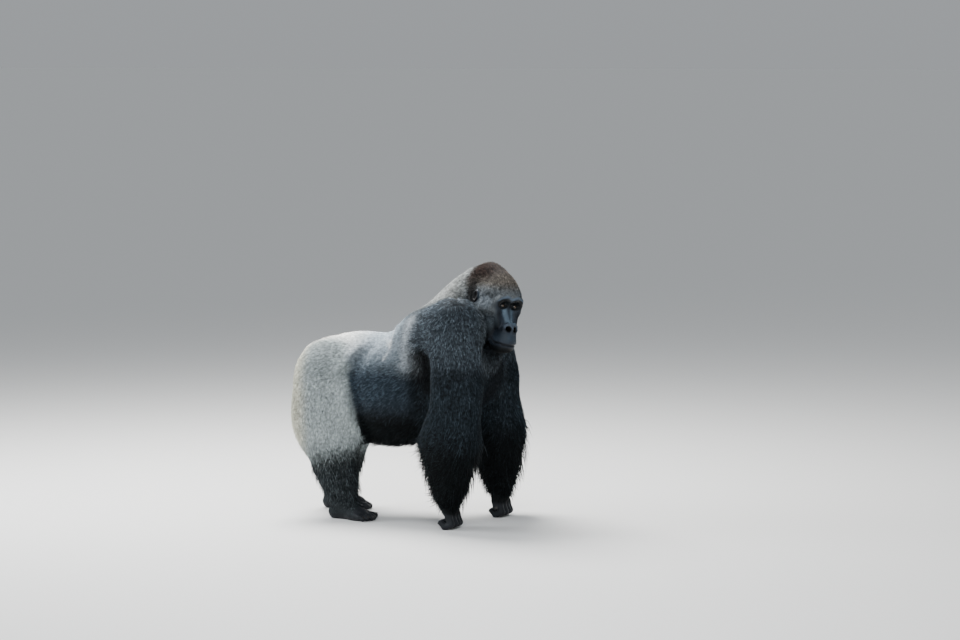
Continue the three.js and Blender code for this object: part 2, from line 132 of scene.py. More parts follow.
def pebble(p, centre, radii, turn=(0.0, 0.0, 0.0)):
    """The field of an ellipsoid, turned by degrees about X, Y and Z."""
    q = p - np.asarray(centre, np.float32)
    if any(turn):
        q = q @ turned(*turn).astype(np.float32)
    q = q / np.asarray(radii, np.float32)
    k0 = np.linalg.norm(q, axis=-1)
    k1 = np.linalg.norm(q / np.asarray(radii, np.float32), axis=-1)
    return np.where(k1 > 1e-9, k0 * (k0 - 1.0) / np.maximum(k1, 1e-9), -min(radii))


def along(p, a, b):
    """How far along the line from a to b a point lies, 0 to 1, and its distance from it."""
    a, b = np.asarray(a, np.float32), np.asarray(b, np.float32)
    axis = b - a
    t = np.clip((p - a) @ axis / float(axis @ axis), 0.0, 1.0)
    return t, np.linalg.norm(p - a - t[..., None] * axis, axis=-1)


def cone(p, a, b, radius_a, radius_b):
    """The field of a cone with round ends."""
    t, far = along(p, a, b)
    return far - (radius_a + (radius_b - radius_a) * t)


# ------------------------------------------------------------------ places, from the solids

def vertices(node):
    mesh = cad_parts[node].data
    points = np.empty(len(mesh.vertices) * 3, np.float32)
    mesh.vertices.foreach_get("co", points)
    return points.reshape(-1, 3)


def ring_centre(node, top):
    """The middle of a node's highest or lowest ring."""
    points = vertices(node)
    level = points[:, 2].max() if top else points[:, 2].min()
    ring = points[np.abs(points[:, 2] - level) < 0.002]
    return (ring.min(0) + ring.max(0)) / 2


def middle(node):
    low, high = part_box(node)
    return (np.array(low) + np.array(high)) / 2


def arm_line(side):
    name = SIDES[side]
    _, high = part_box("upper_arm_" + name)
    elbow, wrist = ring_centre("forearm_" + name, True), ring_centre("forearm_" + name, False)
    shoulder = np.array([elbow[0] - (0.054 if side == LEFT else 0.004), side * 0.228, high[2] - 0.18])
    return [shoulder, np.array([elbow[0], side * 0.262, elbow[2]]), wrist]


def leg_line(side):
    name = SIDES[side]
    knee, ankle = ring_centre("shank_" + name, True), ring_centre("shank_" + name, False)
    hip = np.array([-0.390, side * 0.118, 0.640])
    return [hip, knee, ankle]


ARM = {side: arm_line(side) for side in SIDES}
LEG = {side: leg_line(side) for side in SIDES}

# The head's frame: millimetres, origin midway between the eyes.
HEAD_TURN = turned(roll=-8.0, yaw=-31.0)
EYE, EYE_RADIUS = (-5.0, 33.5, 0.0), 12.4
HEAD_AT = (middle("eye_left") + middle("eye_right")) / 2 - HEAD_TURN @ np.array([EYE[0], 0, 0]) * MM


HEAD_MIDDLE, HEAD_REACH = np.array([-80, 0, -5]), np.array([170, 135, 235])


def to_head(p):
    return (((p - HEAD_AT) @ HEAD_TURN) / MM).astype(np.float32)


def from_middle(q):
    """How far points are from the head's middle: 1 is about its outline."""
    return np.linalg.norm((q - HEAD_MIDDLE) / HEAD_REACH, axis=1)


def from_head(q):
    return np.asarray(q) @ HEAD_TURN.T * MM + HEAD_AT


# ------------------------------------------------------------------ the bare head, hand and foot

def profile(stations, values, at):
    """A smooth curve through values at stations, read at many places."""
    stations, values = np.asarray(stations, float), np.asarray(values, float)
    slopes = np.gradient(values, stations)
    at = np.clip(at, stations[0], stations[-1])
    i = np.clip(np.searchsorted(stations, at) - 1, 0, len(stations) - 2)
    width = stations[i + 1] - stations[i]
    t = (at - stations[i]) / width
    rise = t * t * (3 - 2 * t)
    bend = t * (1 - t) * ((1 - t) * slopes[i] - t * slopes[i + 1]) * width
    return (values[i] * (1 - rise) + values[i + 1] * rise + bend).astype(np.float32)


CROWN = np.array([  # level; back, front and half width of the crown there
    (-70, -165, -40, 66), (-45, -184, -18, 84), (0, -200, -4, 91), (45, -208, 22, 94),
    (88, -213, 2, 81), (110, -215, -16, 68),
], float)


def crown(q):
    """The field of the skull's cap: rings between the levels of CROWN."""
    level, back, front, half = CROWN.T
    z = np.clip(q[:, 2], level[0], level[-1])
    low, high, wide = (profile(level, side, z) for side in (back, front, half))
    deep = (high - low) / 2
    u = (q[:, 0] - (low + high) / 2) / deep
    w = q[:, 1] / wide
    out = (np.sqrt(u * u + w * w) - 1) * np.minimum(deep, wide)
    return np.where(q[:, 2] == z, out, np.hypot(np.maximum(out, 0), q[:, 2] - z))


def mirrored(q):
    """Both halves of a head are one: the left half, with the right folded onto it."""
    return np.stack([q[:, 0], np.abs(q[:, 1]), q[:, 2]], axis=1)


def mouth_level(q):
    """The height of the mouth's line: level in front, climbing along the sides to the corners."""
    aside, back = np.abs(q[:, 1]) - 26, -q[:, 0]
    return -173.0 + 0.3 * aside * smooth(0, 16, aside) + 0.65 * back * smooth(0, 24, back)


def crease(q, path, width):
    """1 on a line drawn on the front of the face by (aside, up) points, fading away from it."""
    flat = q[:, 1:]
    near = np.min([along(flat, a, b)[1] for a, b in zip(path, path[1:])], axis=0)
    return np.exp(-((near / width) ** 2))


def brow_top(aside):
    """Where the bare brow ends: arched over each eye, lower between them and at the sides."""
    return 36.0 + 10.0 * np.exp(-(((aside - 29) / 19) ** 2)) - 0.03 * np.maximum(aside - 48, 0) ** 2


def bareness(q):
    """1 on the bare face: brow, nose, lips and chin; 0 where the head's coat grows."""
    m = mirrored(q)
    levels = [-215, -190, -150, -110, -60, -20, 10, 40, 60]
    half = profile(levels, [34, 44, 58, 57, 58, 70, 74, 62, 40], q[:, 2])
    inside = smooth(5, -6, q[:, 2] - brow_top(m[:, 1])) * smooth(10, -8, m[:, 1] - half)
    return inside * smooth(-62, -40, q[:, 0]) * smooth(-200, -182, q[:, 2])


def fullness(q):
    """How much the forehead swells past the crown's plain rings, in millimetres."""
    return 10.0 * smooth(-120, -50, q[:, 0]) * smooth(26, 58, q[:, 2]) * smooth(165, 125, q[:, 2])


def face_share(q):
    """1 over the face, falling to 0 over a hand's breadth behind it and above the brow."""
    top = 58.0 - 0.004 * q[:, 1] ** 2
    half = profile([-215, -190, -150, -110, -60, 40], [40, 50, 60, 60, 64, 76], q[:, 2])
    aside = smooth(24, -14, np.abs(q[:, 1]) - half)
    return smooth(26, -16, q[:, 2] - top) * aside * smooth(-80, -30, q[:, 0])


def head_depth(q):
    """How deep the coat is on the head, in millimetres."""
    m = mirrored(q)
    back = smooth(-60, -170, q[:, 0])
    coat = 6.0 + 5.0 * smooth(60, 120, q[:, 2]) + 7.0 * back + 2.5 * smooth(-60, -150, q[:, 2])
    ear = np.exp(-(np.linalg.norm((m - [-118, 92, 30]) / [30, 40, 40], axis=1) ** 2))
    return coat * (1 - face_share(q)) * (1 - 0.5 * ear)


def ear_form(m):
    """The left ear: a cup on a stalk, hollowed, with its ridge and tragus."""
    turn = (8, 10, 18)
    cup = join(
        pebble(m, (-120, 99, 30), (23, 12, 30), turn),
        cone(m, (-112, 72, 26), (-117, 90, 28), 22, 16), 8,
    )
    hollow = pebble(m, (-115, 114, 31), (15, 15, 21), turn)
    ridge = cone(m, (-128, 105, 44), (-127, 102, 22), 2.6, 3.2)
    tragus = cone(m, (-106, 102, 26), (-107, 106, 20), 4.4, 3.6)
    return join(join(cut(cup, hollow, 3.5), ridge, 3), tragus, 3)


def head_form(q, fine=True):
    """The bare head. Without `fine` the lids, nostrils and mouth are left out."""
    m = mirrored(q)
    f = crown(q) - fullness(q)
    for part in (
        pebble(q, (-52, 0, -62), (50, 58, 100)),
        cone(m, (8, 0, 24), (14, 27, 38), 11, 13),
        cone(m, (14, 27, 38), (6, 54, 29), 13, 13),
        cone(m, (6, 54, 29), (-4, 63, 4), 13, 12),
        cone(m, (-4, 63, 4), (-14, 61, -24), 12, 13),
        cone(m, (0, 58, 18), (-36, 72, 8), 12, 16),
        cone(m, (-12, 58, -20), (-66, 76, -22), 18, 28),
        cone(m, (-16, 50, -28), (-6, 34, -88), 20, 22),
    ):
        f = join(f, part, 15)
    for part in (
        pebble(m, (-76, 58, -18), (58, 40, 62)),
        pebble(m, (-82, 57, -92), (62, 37, 84)),
        cone(q, (-24, 0, 6), (14, 0, -80), 12, 19),
        pebble(q, (2, 0, -130), (49, 48, 44)),
        pebble(q, (0, 0, -157), (54, 50, 24)),
        pebble(q, (-6, 0, -186), (49, 43, 25)),
        pebble(q, (-44, 0, -150), (50, 50, 60)),
    ):
        f = join(f, part, 20)
    f = cut(f, pebble(m, (26, EYE[1], -2), (23, 24, 16)), 8)
    nose = join(pebble(q, (32, 0, -98), (18, 16, 20)), cone(q, (45, 0, -92), (47, 0, -116), 7, 6), 6)
    for wing in (
        cone(m, (38, 7, -84), (36, 18, -81), 8, 9.5),
        cone(m, (36, 18, -81), (30, 31, -90), 9.5, 9.5),
        cone(m, (30, 31, -90), (27, 34, -103), 9.5, 9.5),
        cone(m, (27, 34, -103), (33, 24, -116), 9.5, 8),
        cone(m, (33, 24, -116), (42, 8, -122), 8, 6),
    ):
        nose = join(nose, wing, 5)
    f = join(f, nose, 7) + head_depth(q)
    f = join(f, pebble(m, np.array(EYE) + [0.6, 0, 0.4], (15.0, 17.0, 14.0)), 7)
    f = cut(f, pebble(m, (44, 17, -101), (27, 9.0, 13.0), (-30, 0, 0)), 4)
    if not fine:
        return f
    f = cut(f, cone(q, (62, 0, -112), (66, 0, -146), 5, 6), 8)
    return lips(q, m, lids(m, f) + folds(q, m))


def lids(m, f):
    """Lids close round each eyeball and leave an almond between them."""
    f = cut(f, pebble(m, np.array(EYE) + [15, 0.2, -0.2], (17, 13.2, 5.4), (-5, 0, 0)), 1.8)
    return join(f, np.linalg.norm(m - EYE, axis=1) - (EYE_RADIUS - 0.8), 0.4)


def folds(q, m):
    """Creases of the bare face, as millimetres to sink the surface by."""
    deep = 1.3 * crease(m, [(24, -20), (35, -24), (47, -17)], 2.6)
    deep = deep + 2.4 * crease(m, [(30, -36), (37, -54), (39, -78)], 5.0)
    deep = deep + 3.0 * crease(m, [(41, -88), (48, -110), (52, -136)], 5.0)
    deep = deep + 1.4 * crease(m, [(24, 11), (34, 14), (46, 10)], 2.2)
    for k in range(6):
        level = -14.0 - 11.0 * k
        deep = deep + 0.5 * crease(m, [(0, level), (12, level + 3), (19, level + 8)], 1.8)
    for k in range(3):
        reach = 16.0 + 11.0 * k
        deep = deep + 0.35 * crease(m, [(reach, -128), (reach + 2, -142), (reach + 1, -156)], 2.2)
    return deep * smooth(-40, -10, q[:, 0])


def lips(q, m, f):
    """The mouth is shut: a narrow slot between two low rolls."""
    level = mouth_level(q)
    off = q[:, 2] - level
    front = smooth(62, 52, m[:, 1]) * smooth(-50, -34, q[:, 0])
    rolls = 1.9 * np.exp(-(((off - 6) / 4.5) ** 2)) + 2.6 * np.exp(-(((off + 7.5) / 5.0) ** 2))
    f = f - rolls * front
    slot = np.maximum(np.abs(off) - 2.4 * smooth(60, 46, m[:, 1]) * smooth(-52, -36, q[:, 0]), -f - 7.0)
    return cut(f, np.maximum(slot, m[:, 1] - 56), 3.2)


HAND_SPREAD, FINGER, THUMB_TIP = 31.0, 15.5, 11.5
THUMB = [(-6, -44, 108), (0, -66, 78), (4, -68, 50)]


def hand_form(q):
    """A hand on its knuckles, fingers curled back, in millimetres from the floor under it.

    q has its y axis outwards, whichever hand it is.
    """
    f = join(cone(q, (1, 8, 150), (0, 0, 92), 40, 38), pebble(q, (2, 0, 84), (28, 57, 31)), 20)
    for i in range(4):
        y = (i - 1.5) * HAND_SPREAD
        short = 5 if i in (0, 3) else 0
        path = [(6, y * 0.9, 84), (32 - short, y, 25), (-2, y, 11), (-28 + short, y, 30)]
        radii = [19, FINGER, FINGER - 1, FINGER - 3]
        finger = cone(q, path[0], path[1], radii[0], radii[1])
        for k in (1, 2):
            finger = join(finger, cone(q, path[k], path[k + 1], radii[k], radii[k + 1]), 6)
        f = join(f, finger, 5)
        f = join(f, pebble(q, (22 - short, y, 62), (14, 12, 13)), 8)
    root, bend, tip = THUMB
    thumb = join(cone(q, root, bend, 19, 14), cone(q, bend, tip, 14, THUMB_TIP), 5)
    return join(f, thumb, 8)


FOOT_LENGTH, FOOT_WIDTH, HEEL = 268.0, 100.0, 36.0
BALL = FOOT_LENGTH * 0.42


def toe_path(toe):
    y = FOOT_WIDTH * (0.4 - toe * 0.235)
    reach = BALL + 44 - abs(toe - 2.2) * 9
    return [(BALL - 20, y * 0.9, 22), (reach - 17, y, 20), (reach - 1, y, 13)]


GREAT_TOE = [(BALL - 78, -40, 26), (BALL - 34, -62, 22), (BALL + 9, -76, 16)]


def foot_form(q):
    """A flat foot with its great toe set wide, in millimetres from the floor under the ankle."""
    back = -FOOT_LENGTH * 0.28 + HEEL
    ankle = cone(q, (0, 0, 140), (0, 0, 74), 52, 46)
    f = join(ankle, cone(q, (0, 0, 78), (back + 2, 0, HEEL - 3), 42, 33), 18)
    f = join(f, cone(q, (back, 0, HEEL - 5), (BALL - 20, 6, 23), HEEL - 2, 28), 20)
    f = join(f, cone(q, (4, 0, 76), (BALL - 24, 2, 27), 40, 27), 24)
    f = join(f, pebble(q, (BALL - 34, 0, 25), (52, FOOT_WIDTH / 2 - 2, 26)), 18)
    for toe in range(4):
        a, b, c = toe_path(toe)
        f = join(f, join(cone(q, a, b, 15, 12.4), cone(q, b, c, 12.4, 11.6), 4), 6)
    a, b, c = GREAT_TOE
    return join(f, join(cone(q, a, b, 22, 17), cone(q, b, c, 17, 14.5), 5), 12)


TOE_OUT = {LEFT: 12.0, RIGHT: -10.0}


def under_wrist(side):
    """Where a hand's own frame begins, on the floor."""
    return ARM[side][2] * [1, 1, 0] + np.array([-0.001, -side * 0.008, 0])


def to_hand(p, side):
    return ((p - under_wrist(side)) * [1, side, 1] / MM).astype(np.float32)


def to_foot(p, side):
    q = (p - LEG[side][2] * [1, 1, 0]) @ turned(yaw=TOE_OUT[side])
    return (q * [1, side, 1] / MM).astype(np.float32)


def from_foot(q, side):
    return (np.asarray(q) * [1, side, 1] * MM) @ turned(yaw=TOE_OUT[side]).T + LEG[side][2] * [1, 1, 0]


def from_hand(q, side):
    return np.asarray(q) * [1, side, 1] * MM + under_wrist(side)


# ------------------------------------------------------------------ the coat's depth

def line_place(p, line):
    """Where a point lies along a limb (0 at its root, 1 at its bend, 2 at its end), and how far off."""
    t0, far0 = along(p, line[0], line[1])
    t1, far1 = along(p, line[1], line[2])
    lower = far1 < far0
    return np.where(lower, 1 + t1, t0), np.where(lower, far1, far0)


ARM_SHARE = ([0, 0.6, 1, 1.3, 1.8, 2], [0.10, 0.13, 0.22, 0.33, 0.36, 0.33])
LEG_SHARE = ([0, 0.5, 1, 1.4, 2], [0.07, 0.10, 0.16, 0.23, 0.28])


def coat_depth(p):
    """How deep the coat is on the body, in metres. On a limb it is a share of the limb's radius."""
    trunk = 0.010 + 0.004 * smooth(-0.2, -0.42, p[:, 0]) + 0.006 * smooth(0.0, 0.24, p[:, 0])
    trunk = trunk + 0.008 * smooth(0.52, 0.38, p[:, 2])
    total, weight = trunk * 0.1, np.full(len(p), 0.1)
    for lines, (places, shares), reach in ((ARM, ARM_SHARE, 0.135), (LEG, LEG_SHARE, 0.145)):
        for line in lines.values():
            place, far = line_place(p, line)
            share = np.interp(place, places, shares)
            w = np.exp(-((far / reach) ** 4))
            total, weight = total + w * far * share / (1 - share), weight + w
    body = total / weight
    q = to_head(p)
    head = np.exp(-(np.linalg.norm((q - [-95, 0, 40]) / [125, 118, 190], axis=1) ** 6))
    return body + head * (head_depth(q) * MM - body)


# ------------------------------------------------------------------ the bare body as a field

VOXEL = 0.0065
BODY_NODES = ["trunk", "neck"] + [
    f"{part}_{name}" for part in ("upper_arm", "forearm", "thigh", "shank") for name in SIDES.values()
]
GRID_LOW = np.array(CAD_BOX[0]) - 0.03
GRID_SHAPE = tuple(int(n) for n in np.ceil((np.array(CAD_BOX[1]) + 0.03 - GRID_LOW) / VOXEL))
SCALE = vdb.createLinearTransform(voxelSize=VOXEL)


def filled(nodes):
    """How much of each voxel the solids fill, on a dense grid."""
    full = np.zeros(GRID_SHAPE, np.float32)
    far = np.empty(GRID_SHAPE, np.float32)
    for node in nodes:
        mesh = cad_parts[node].data
        mesh.calc_loop_triangles()
        corners = np.empty(len(mesh.loop_triangles) * 3, np.int32)
        mesh.loop_triangles.foreach_get("vertices", corners)
        level = vdb.FloatGrid.createLevelSetFromPolygons(
            (vertices(node) - GRID_LOW).astype(np.float32),
            triangles=corners.reshape(-1, 3).astype(np.uint32), transform=SCALE, halfWidth=2.5,
        )
        level.copyToArray(far)
        full += np.clip(0.5 - far / VOXEL, 0.0, 1.0)
    return np.minimum(full, 1.0)


def blurred(grid, sigma):
    reach = int(math.ceil(3 * sigma))
    weights = np.exp(-0.5 * (np.arange(-reach, reach + 1) / sigma) ** 2)
    weights /= weights.sum()
    for axis in range(3):
        padded = np.pad(grid, [(reach, reach) if a == axis else (0, 0) for a in range(3)], mode="edge")
        out = np.zeros_like(grid)
        for k, w in enumerate(weights):
            window = [slice(None)] * 3
            window[axis] = slice(k, k + grid.shape[axis])
            out += np.float32(w) * padded[tuple(window)]
        grid = out
    return grid


def surface_of(grid):
    """The surface where a grid is zero: points, and corners of quads."""
    volume = vdb.FloatGrid(1.0)
    volume.copyFromArray(grid)
    volume.transform = SCALE
    points, triangles, quads = volume.convertToPolygons(isovalue=0.0, adaptivity=0.0)
    return points + GRID_LOW.astype(np.float32), triangles, quads


def enlarged(coarse, shape, step):
    """A coarse grid read on a fine one, straight lines between its values."""
    for axis in range(3):
        place = np.arange(shape[axis]) / step
        low = np.minimum(place.astype(int), coarse.shape[axis] - 2)
        share = (place - low).astype(np.float32)
        share = share.reshape([-1 if a == axis else 1 for a in range(3)])
        coarse = np.take(coarse, low, axis) * (1 - share) + np.take(coarse, low + 1, axis) * share
    return coarse


def grid_points(low, shape, voxel):
    axes = [low[a] + voxel * np.arange(shape[a]) for a in range(3)]
    return np.stack(np.meshgrid(*axes, indexing="ij"), axis=-1).reshape(-1, 3).astype(np.float32)


def distances(full, round_off):
    """Distances to the surface of what is filled, its edges rounded off, on the grid."""
    points, triangles, quads = surface_of(0.5 - blurred(full, round_off / VOXEL))
    level = vdb.FloatGrid.createLevelSetFromPolygons(
        (points - GRID_LOW).astype(np.float32), triangles=triangles, quads=quads,
        transform=SCALE, halfWidth=15,
    )
    far = np.empty(GRID_SHAPE, np.float32)
    level.copyToArray(far)
    return far


def on_grid(quantity):
    """A slowly changing quantity all over the grid, worked out on a coarser one."""
    step = 3
    shape = tuple(n // step + 2 for n in GRID_SHAPE)
    coarse = quantity(grid_points(GRID_LOW, shape, VOXEL * step))
    return enlarged(coarse.reshape(shape).astype(np.float32), GRID_SHAPE, step)


def nape_blend(p):
    """How widely the neck and the back of the head flow into each other, in metres."""
    q = to_head(p)
    return 0.02 + 0.09 * smooth(-90, -170, q[:, 0]) * smooth(-40, 50, q[:, 2])


def bowed(start, end, bow):
    """Points on a line from start to end that bows aside in its middle."""
    start, end, bow = (np.array(v, float) for v in (start, end, bow))
    return [start + (end - start) * t + bow * math.sin(math.pi * t) for t in (0, 0.25, 0.5, 0.75, 1)]


# Lines on the right side of the body, placed from its joints and followed by its creases and folds.
# The left side has them too.
HIP, KNEE = LEG[RIGHT][:2]
SHOULDER, ELBOW = ARM[RIGHT][:2]
THIGH_TOP = HIP + [0.19, -0.10, 0.04]
GROIN = bowed(HIP + [0.28, -0.01, 0.19], THIGH_TOP, (0, -0.03, 0))
THIGH_EDGE = bowed(THIGH_TOP, KNEE + [0.20, -0.01, 0.03], (0.03, -0.04, 0))
WAIST_FOLDS = [
    bowed(HIP + [0.34, 0.03, 0.24], HIP + [0.38, -0.08, 0.18], (-0.01, -0.01, 0)),
    bowed(HIP + [0.38, 0.01, 0.26], HIP + [0.37, -0.11, 0.12], (0.02, -0.03, 0)),
]
ARM_BACK = bowed(SHOULDER + [-0.14, -0.03, -0.13], ELBOW + [-0.16, 0.0, 0.05], (0.01, -0.02, 0))
SHOULDER_EDGE = bowed(SHOULDER + [-0.19, 0.0, 0.06], SHOULDER + [-0.21, -0.02, -0.14], (-0.015, -0.015, 0))


def off_line(m, path):
    """How far points are from a line through other points."""
    return np.min([along(m, a, b)[1] for a, b in zip(path, path[1:])], axis=0)


def near_line(m, path, width):
    """1 on a line through points, fading away from it."""
    return np.exp(-((off_line(m, path) / width) ** 2))


def folded(p):
    """The right side's place for a point on either side; the left hip stands a little further back."""
    return np.stack([p[:, 0] + 0.03 * ((p[:, 1] > 0) & (p[:, 0] < 0)), -np.abs(p[:, 1]), p[:, 2]], axis=1)


def body_creases(p):
    """How far creases sink the body's surface, in metres; folds and swellings are below zero."""
    m = folded(p)
    deep = 0.036 * near_line(m, GROIN, 0.032) * smooth(0.86, 0.72, p[:, 2])
    deep = deep + 0.038 * near_line(m, THIGH_EDGE, 0.028)
    hip = [place - [0.055, 0.01, 0] for place in GROIN[1:] + THIGH_EDGE[1:4]]
    deep = deep - 0.014 * near_line(m, hip, 0.035)
    for path in WAIST_FOLDS:
        behind = [place - [0.017, 0, 0] for place in path]
        deep = deep - 0.010 * near_line(m, path, 0.010) + 0.009 * near_line(m, behind, 0.012)
    deep = deep + 0.055 * near_line(m, ARM_BACK, 0.052)
    groove = [place - [0.034, 0, 0] for place in SHOULDER_EDGE]
    deep = deep + 0.006 * near_line(m, groove, 0.024) - 0.005 * near_line(m, SHOULDER_EDGE, 0.022)
    return deep - fullness(to_head(p)) * MM


def crease_fields():
    """Sinks the creases into the bare body and into the coat over it."""
    near = np.flatnonzero(np.abs(coat_surface) < 0.06)
    places = np.stack(np.unravel_index(near, GRID_SHAPE), axis=1)
    deep = body_creases((GRID_LOW + VOXEL * places).astype(np.float32)).astype(np.float32)
    for grid in (bare_body, coat_surface, headless_body):
        grid.reshape(-1)[near] += deep


def sampled(grid, p):
    """A grid read at any points, straight lines between its values."""
    place = (p - GRID_LOW) / VOXEL
    low = np.clip(place.astype(int), 0, np.array(GRID_SHAPE) - 2)
    t = np.clip(place - low, 0, 1).astype(np.float32)
    out = 0
    for corner in range(8):
        step = np.array([(corner >> a) & 1 for a in range(3)])
        w = np.prod(np.where(step, t, 1 - t), axis=1)
        out = out + w * grid[tuple((low + step).T)]
    return out


depth_grid = on_grid(coat_depth)
blend = on_grid(nape_blend)
ends = [f"{part}_{name}" for part in ("hand", "foot") for name in SIDES.values()]
below_head, head_alone = filled(BODY_NODES), filled(["head"])
headless_body = distances(below_head, 0.016) + depth_grid
bare_body = join(headless_body, distances(head_alone, 0.014) + depth_grid, blend)
coat_surface = join(
    distances(np.minimum(below_head + filled(ends), 1.0), 0.007), distances(head_alone, 0.007), blend,
)
crease_fields()
log("body fields")


def with_extremities(p, f, fine):
    """The body's field, turning into the face, hands and feet where they begin."""
    f = f.astype(np.float32).copy()
    near = np.linalg.norm((to_head(p) - [-80, 0, -10]) / [185, 145, 245], axis=1) < 1
    if near.any():
        q = to_head(p[near])
        own = smooth(-135, -85, q[:, 0]) * smooth(104, 66, q[:, 2])
        face = join(head_form(q, fine) * MM, sampled(headless_body, p[near]), 0.03)
        f[near] += own.astype(np.float32) * (face - f[near])
        f[near] = join(f[near], ear_form(mirrored(q)) * MM, 0.008)
    for side in SIDES:
        for at, form, to_own, reach in (
            (ARM[side][2], hand_form, to_hand, 0.16), (LEG[side][2], foot_form, to_foot, 0.27),
        ):
            near = (p[:, 2] < at[2] + 0.05) & (np.linalg.norm((p - at)[:, :2], axis=1) < reach)
            if near.any():
                own = smooth(0.05, 0.0, p[near, 2] - at[2])
                f[near] += own.astype(np.float32) * (form(to_own(p[near], side)) * MM - f[near])
    return f


def bare(p, fine=True):
    """Distance to the whole bare surface, at any points."""
    return with_extremities(p, sampled(bare_body, p), fine)


def extremity_boxes():
    """Boxes of grid places that hold the head, each hand and each foot."""
    corners = np.array([[x, y, z] for x in (-240, 80) for y in (-125, 125) for z in (-228, 208)])
    yield from_head(corners)
    for side in SIDES:
        yield from_hand([(-60, -95, -8), (60, 75, 175)], side)
        corners = np.array([[x, y, z] for x in (-95, 175) for y in (-100, 70) for z in (-8, 145)])
        yield from_foot(corners, side)


def whole_field():
    grid = bare_body.copy()
    for corners in extremity_boxes():
        low = np.maximum(((corners.min(0) - GRID_LOW) / VOXEL).astype(int), 0)
        high = np.minimum(((corners.max(0) - GRID_LOW) / VOXEL).astype(int) + 2, GRID_SHAPE)
        window = tuple(slice(a, b) for a, b in zip(low, high))
        p = grid_points(GRID_LOW + low * VOXEL, tuple(high - low), VOXEL)
        part = with_extremities(p, grid[window].reshape(-1), fine=False)
        grid[window] = part.reshape(grid[window].shape)
    return grid


# ------------------------------------------------------------------ the skin

def mesh_from(name, points, faces):
    """A mesh from points and a list of arrays of faces, each array with its own number of corners."""
    mesh = bpy.data.meshes.new(name)
    mesh.vertices.add(len(points))
    mesh.vertices.foreach_set("co", np.asarray(points, np.float32).ravel())
    faces = [np.asarray(f, np.int32) for f in faces if len(f)]
    corners = np.concatenate([f.ravel() for f in faces])
    sizes = np.concatenate([np.full(len(f), f.shape[1], np.int32) for f in faces])
    mesh.loops.add(len(corners))
    mesh.loops.foreach_set("vertex_index", corners)
    mesh.polygons.add(len(sizes))
    mesh.polygons.foreach_set("loop_start", np.concatenate([[0], np.cumsum(sizes)[:-1]]).astype(np.int32))
    mesh.polygons.foreach_set("loop_total", sizes)
    mesh.polygons.foreach_set("use_smooth", np.ones(len(sizes), bool))
    mesh.update(calc_edges=True)
    return mesh


def refine(mesh, inside):
    """Halves the edges of a mesh wherever inside() says so of both their ends."""
    marked = inside(points_of(mesh).astype(np.float32))
    work = bmesh.new()
    work.from_mesh(mesh)
    edges = [e for e in work.edges if marked[e.verts[0].index] and marked[e.verts[1].index]]
    bmesh.ops.subdivide_edges(work, edges=edges, cuts=1, use_grid_fill=True)
    work.to_mesh(mesh)
    work.free()


def points_of(mesh):
    points = np.empty(len(mesh.vertices) * 3, np.float32)
    mesh.vertices.foreach_get("co", points)
    return points.reshape(-1, 3).astype(np.float64)


def edges_of(mesh):
    edges = np.empty(len(mesh.edges) * 2, np.int32)
    mesh.edges.foreach_get("vertices", edges)
    return edges.reshape(-1, 2)


def slope(p, step):
    """The gradient of the bare field, from four readings round each point."""
    total = 0
    for way in ((1, 1, 1), (1, -1, -1), (-1, 1, -1), (-1, -1, 1)):
        way = np.array(way, float)
        total = total + bare(p + way * step)[:, None] * way
    return total / (4 * step)


def settle(mesh, inside, rounds):
    """Moves points on to the bare surface, evening out their spacing along it as they go."""
    points, edges = points_of(mesh), edges_of(mesh)
    chosen = np.flatnonzero(inside(points))
    count = np.bincount(edges.ravel(), minlength=len(points))[:, None]
    for k in range(rounds):
        p = points[chosen]
        g = slope(p, 0.0005)
        size = np.maximum(np.linalg.norm(g, axis=1, keepdims=True), 0.35)
        n = unit(g)
        if k < rounds - 1:
            total = np.stack([
                np.bincount(edges.ravel(), points[edges[:, ::-1]].reshape(-1, 3)[:, a], len(points))
                for a in range(3)
            ], axis=1)
            drift = (total / np.maximum(count, 1))[chosen] - p
            drift -= n * np.sum(n * drift, axis=1, keepdims=True)
            p = p + 0.5 * drift
        off = bare(p)[:, None] / size
        points[chosen] = p - n * np.clip(off, -0.004, 0.004)
    points[:, 2] = np.maximum(points[:, 2], 0.0)
    mesh.vertices.foreach_set("co", points.astype(np.float32).ravel())
    mesh.update()


def head_zone(low, high):
    """A test for points in a box of the head's frame."""
    low, high = np.array(low), np.array(high)
    return lambda p: np.all((to_head(p) > low) & (to_head(p) < high), axis=1)


def around_eyes(grow):
    """A test for points within reach of the lids."""
    return lambda p: np.linalg.norm((mirrored(to_head(p)) - [4, EYE[1], 0]) / [24, 18, 12] / grow, axis=1) < 1


def near_ends(p):
    """Hands and feet, up to the wrist and the ankle."""
    return p[:, 2] < 0.125


def make_skin():
    points, triangles, quads = surface_of(whole_field())
    mesh = mesh_from("skin", points, [triangles, quads])
    log(f"skin, coarse: {len(mesh.vertices)} points")
    whole_head = head_zone((-240, -125, -225), (90, 125, 205))
    face = head_zone((-62, -82, -222), (90, 82, 62))
    ears = head_zone((-150, -125, -8), (-84, 125, 68))
    refine(mesh, lambda p: whole_head(p) | near_ends(p))
    refine(mesh, lambda p: face(p) | (ears(p) & (np.abs(to_head(p)[:, 1]) > 78)))
    refine(mesh, around_eyes(1.3))
    refine(mesh, around_eyes(1.0))
    log(f"skin, fine: {len(mesh.vertices)} points")
    settle(mesh, lambda p: whole_head(p) | near_ends(p), 4)
    settle(mesh, around_eyes(1.5), 5)
    log("skin settled")
    return mesh


# ------------------------------------------------------------------ the coat's colours

def painted(tone, colour, share):
    """Colours laid over others by a share for each point."""
    return tone + (np.asarray(colour, float) - tone) * share[:, None]


def head_weight(q):
    """1 well inside the head, 0 off it."""
    return 1 - smooth(0.75, 1.1, from_middle(q))


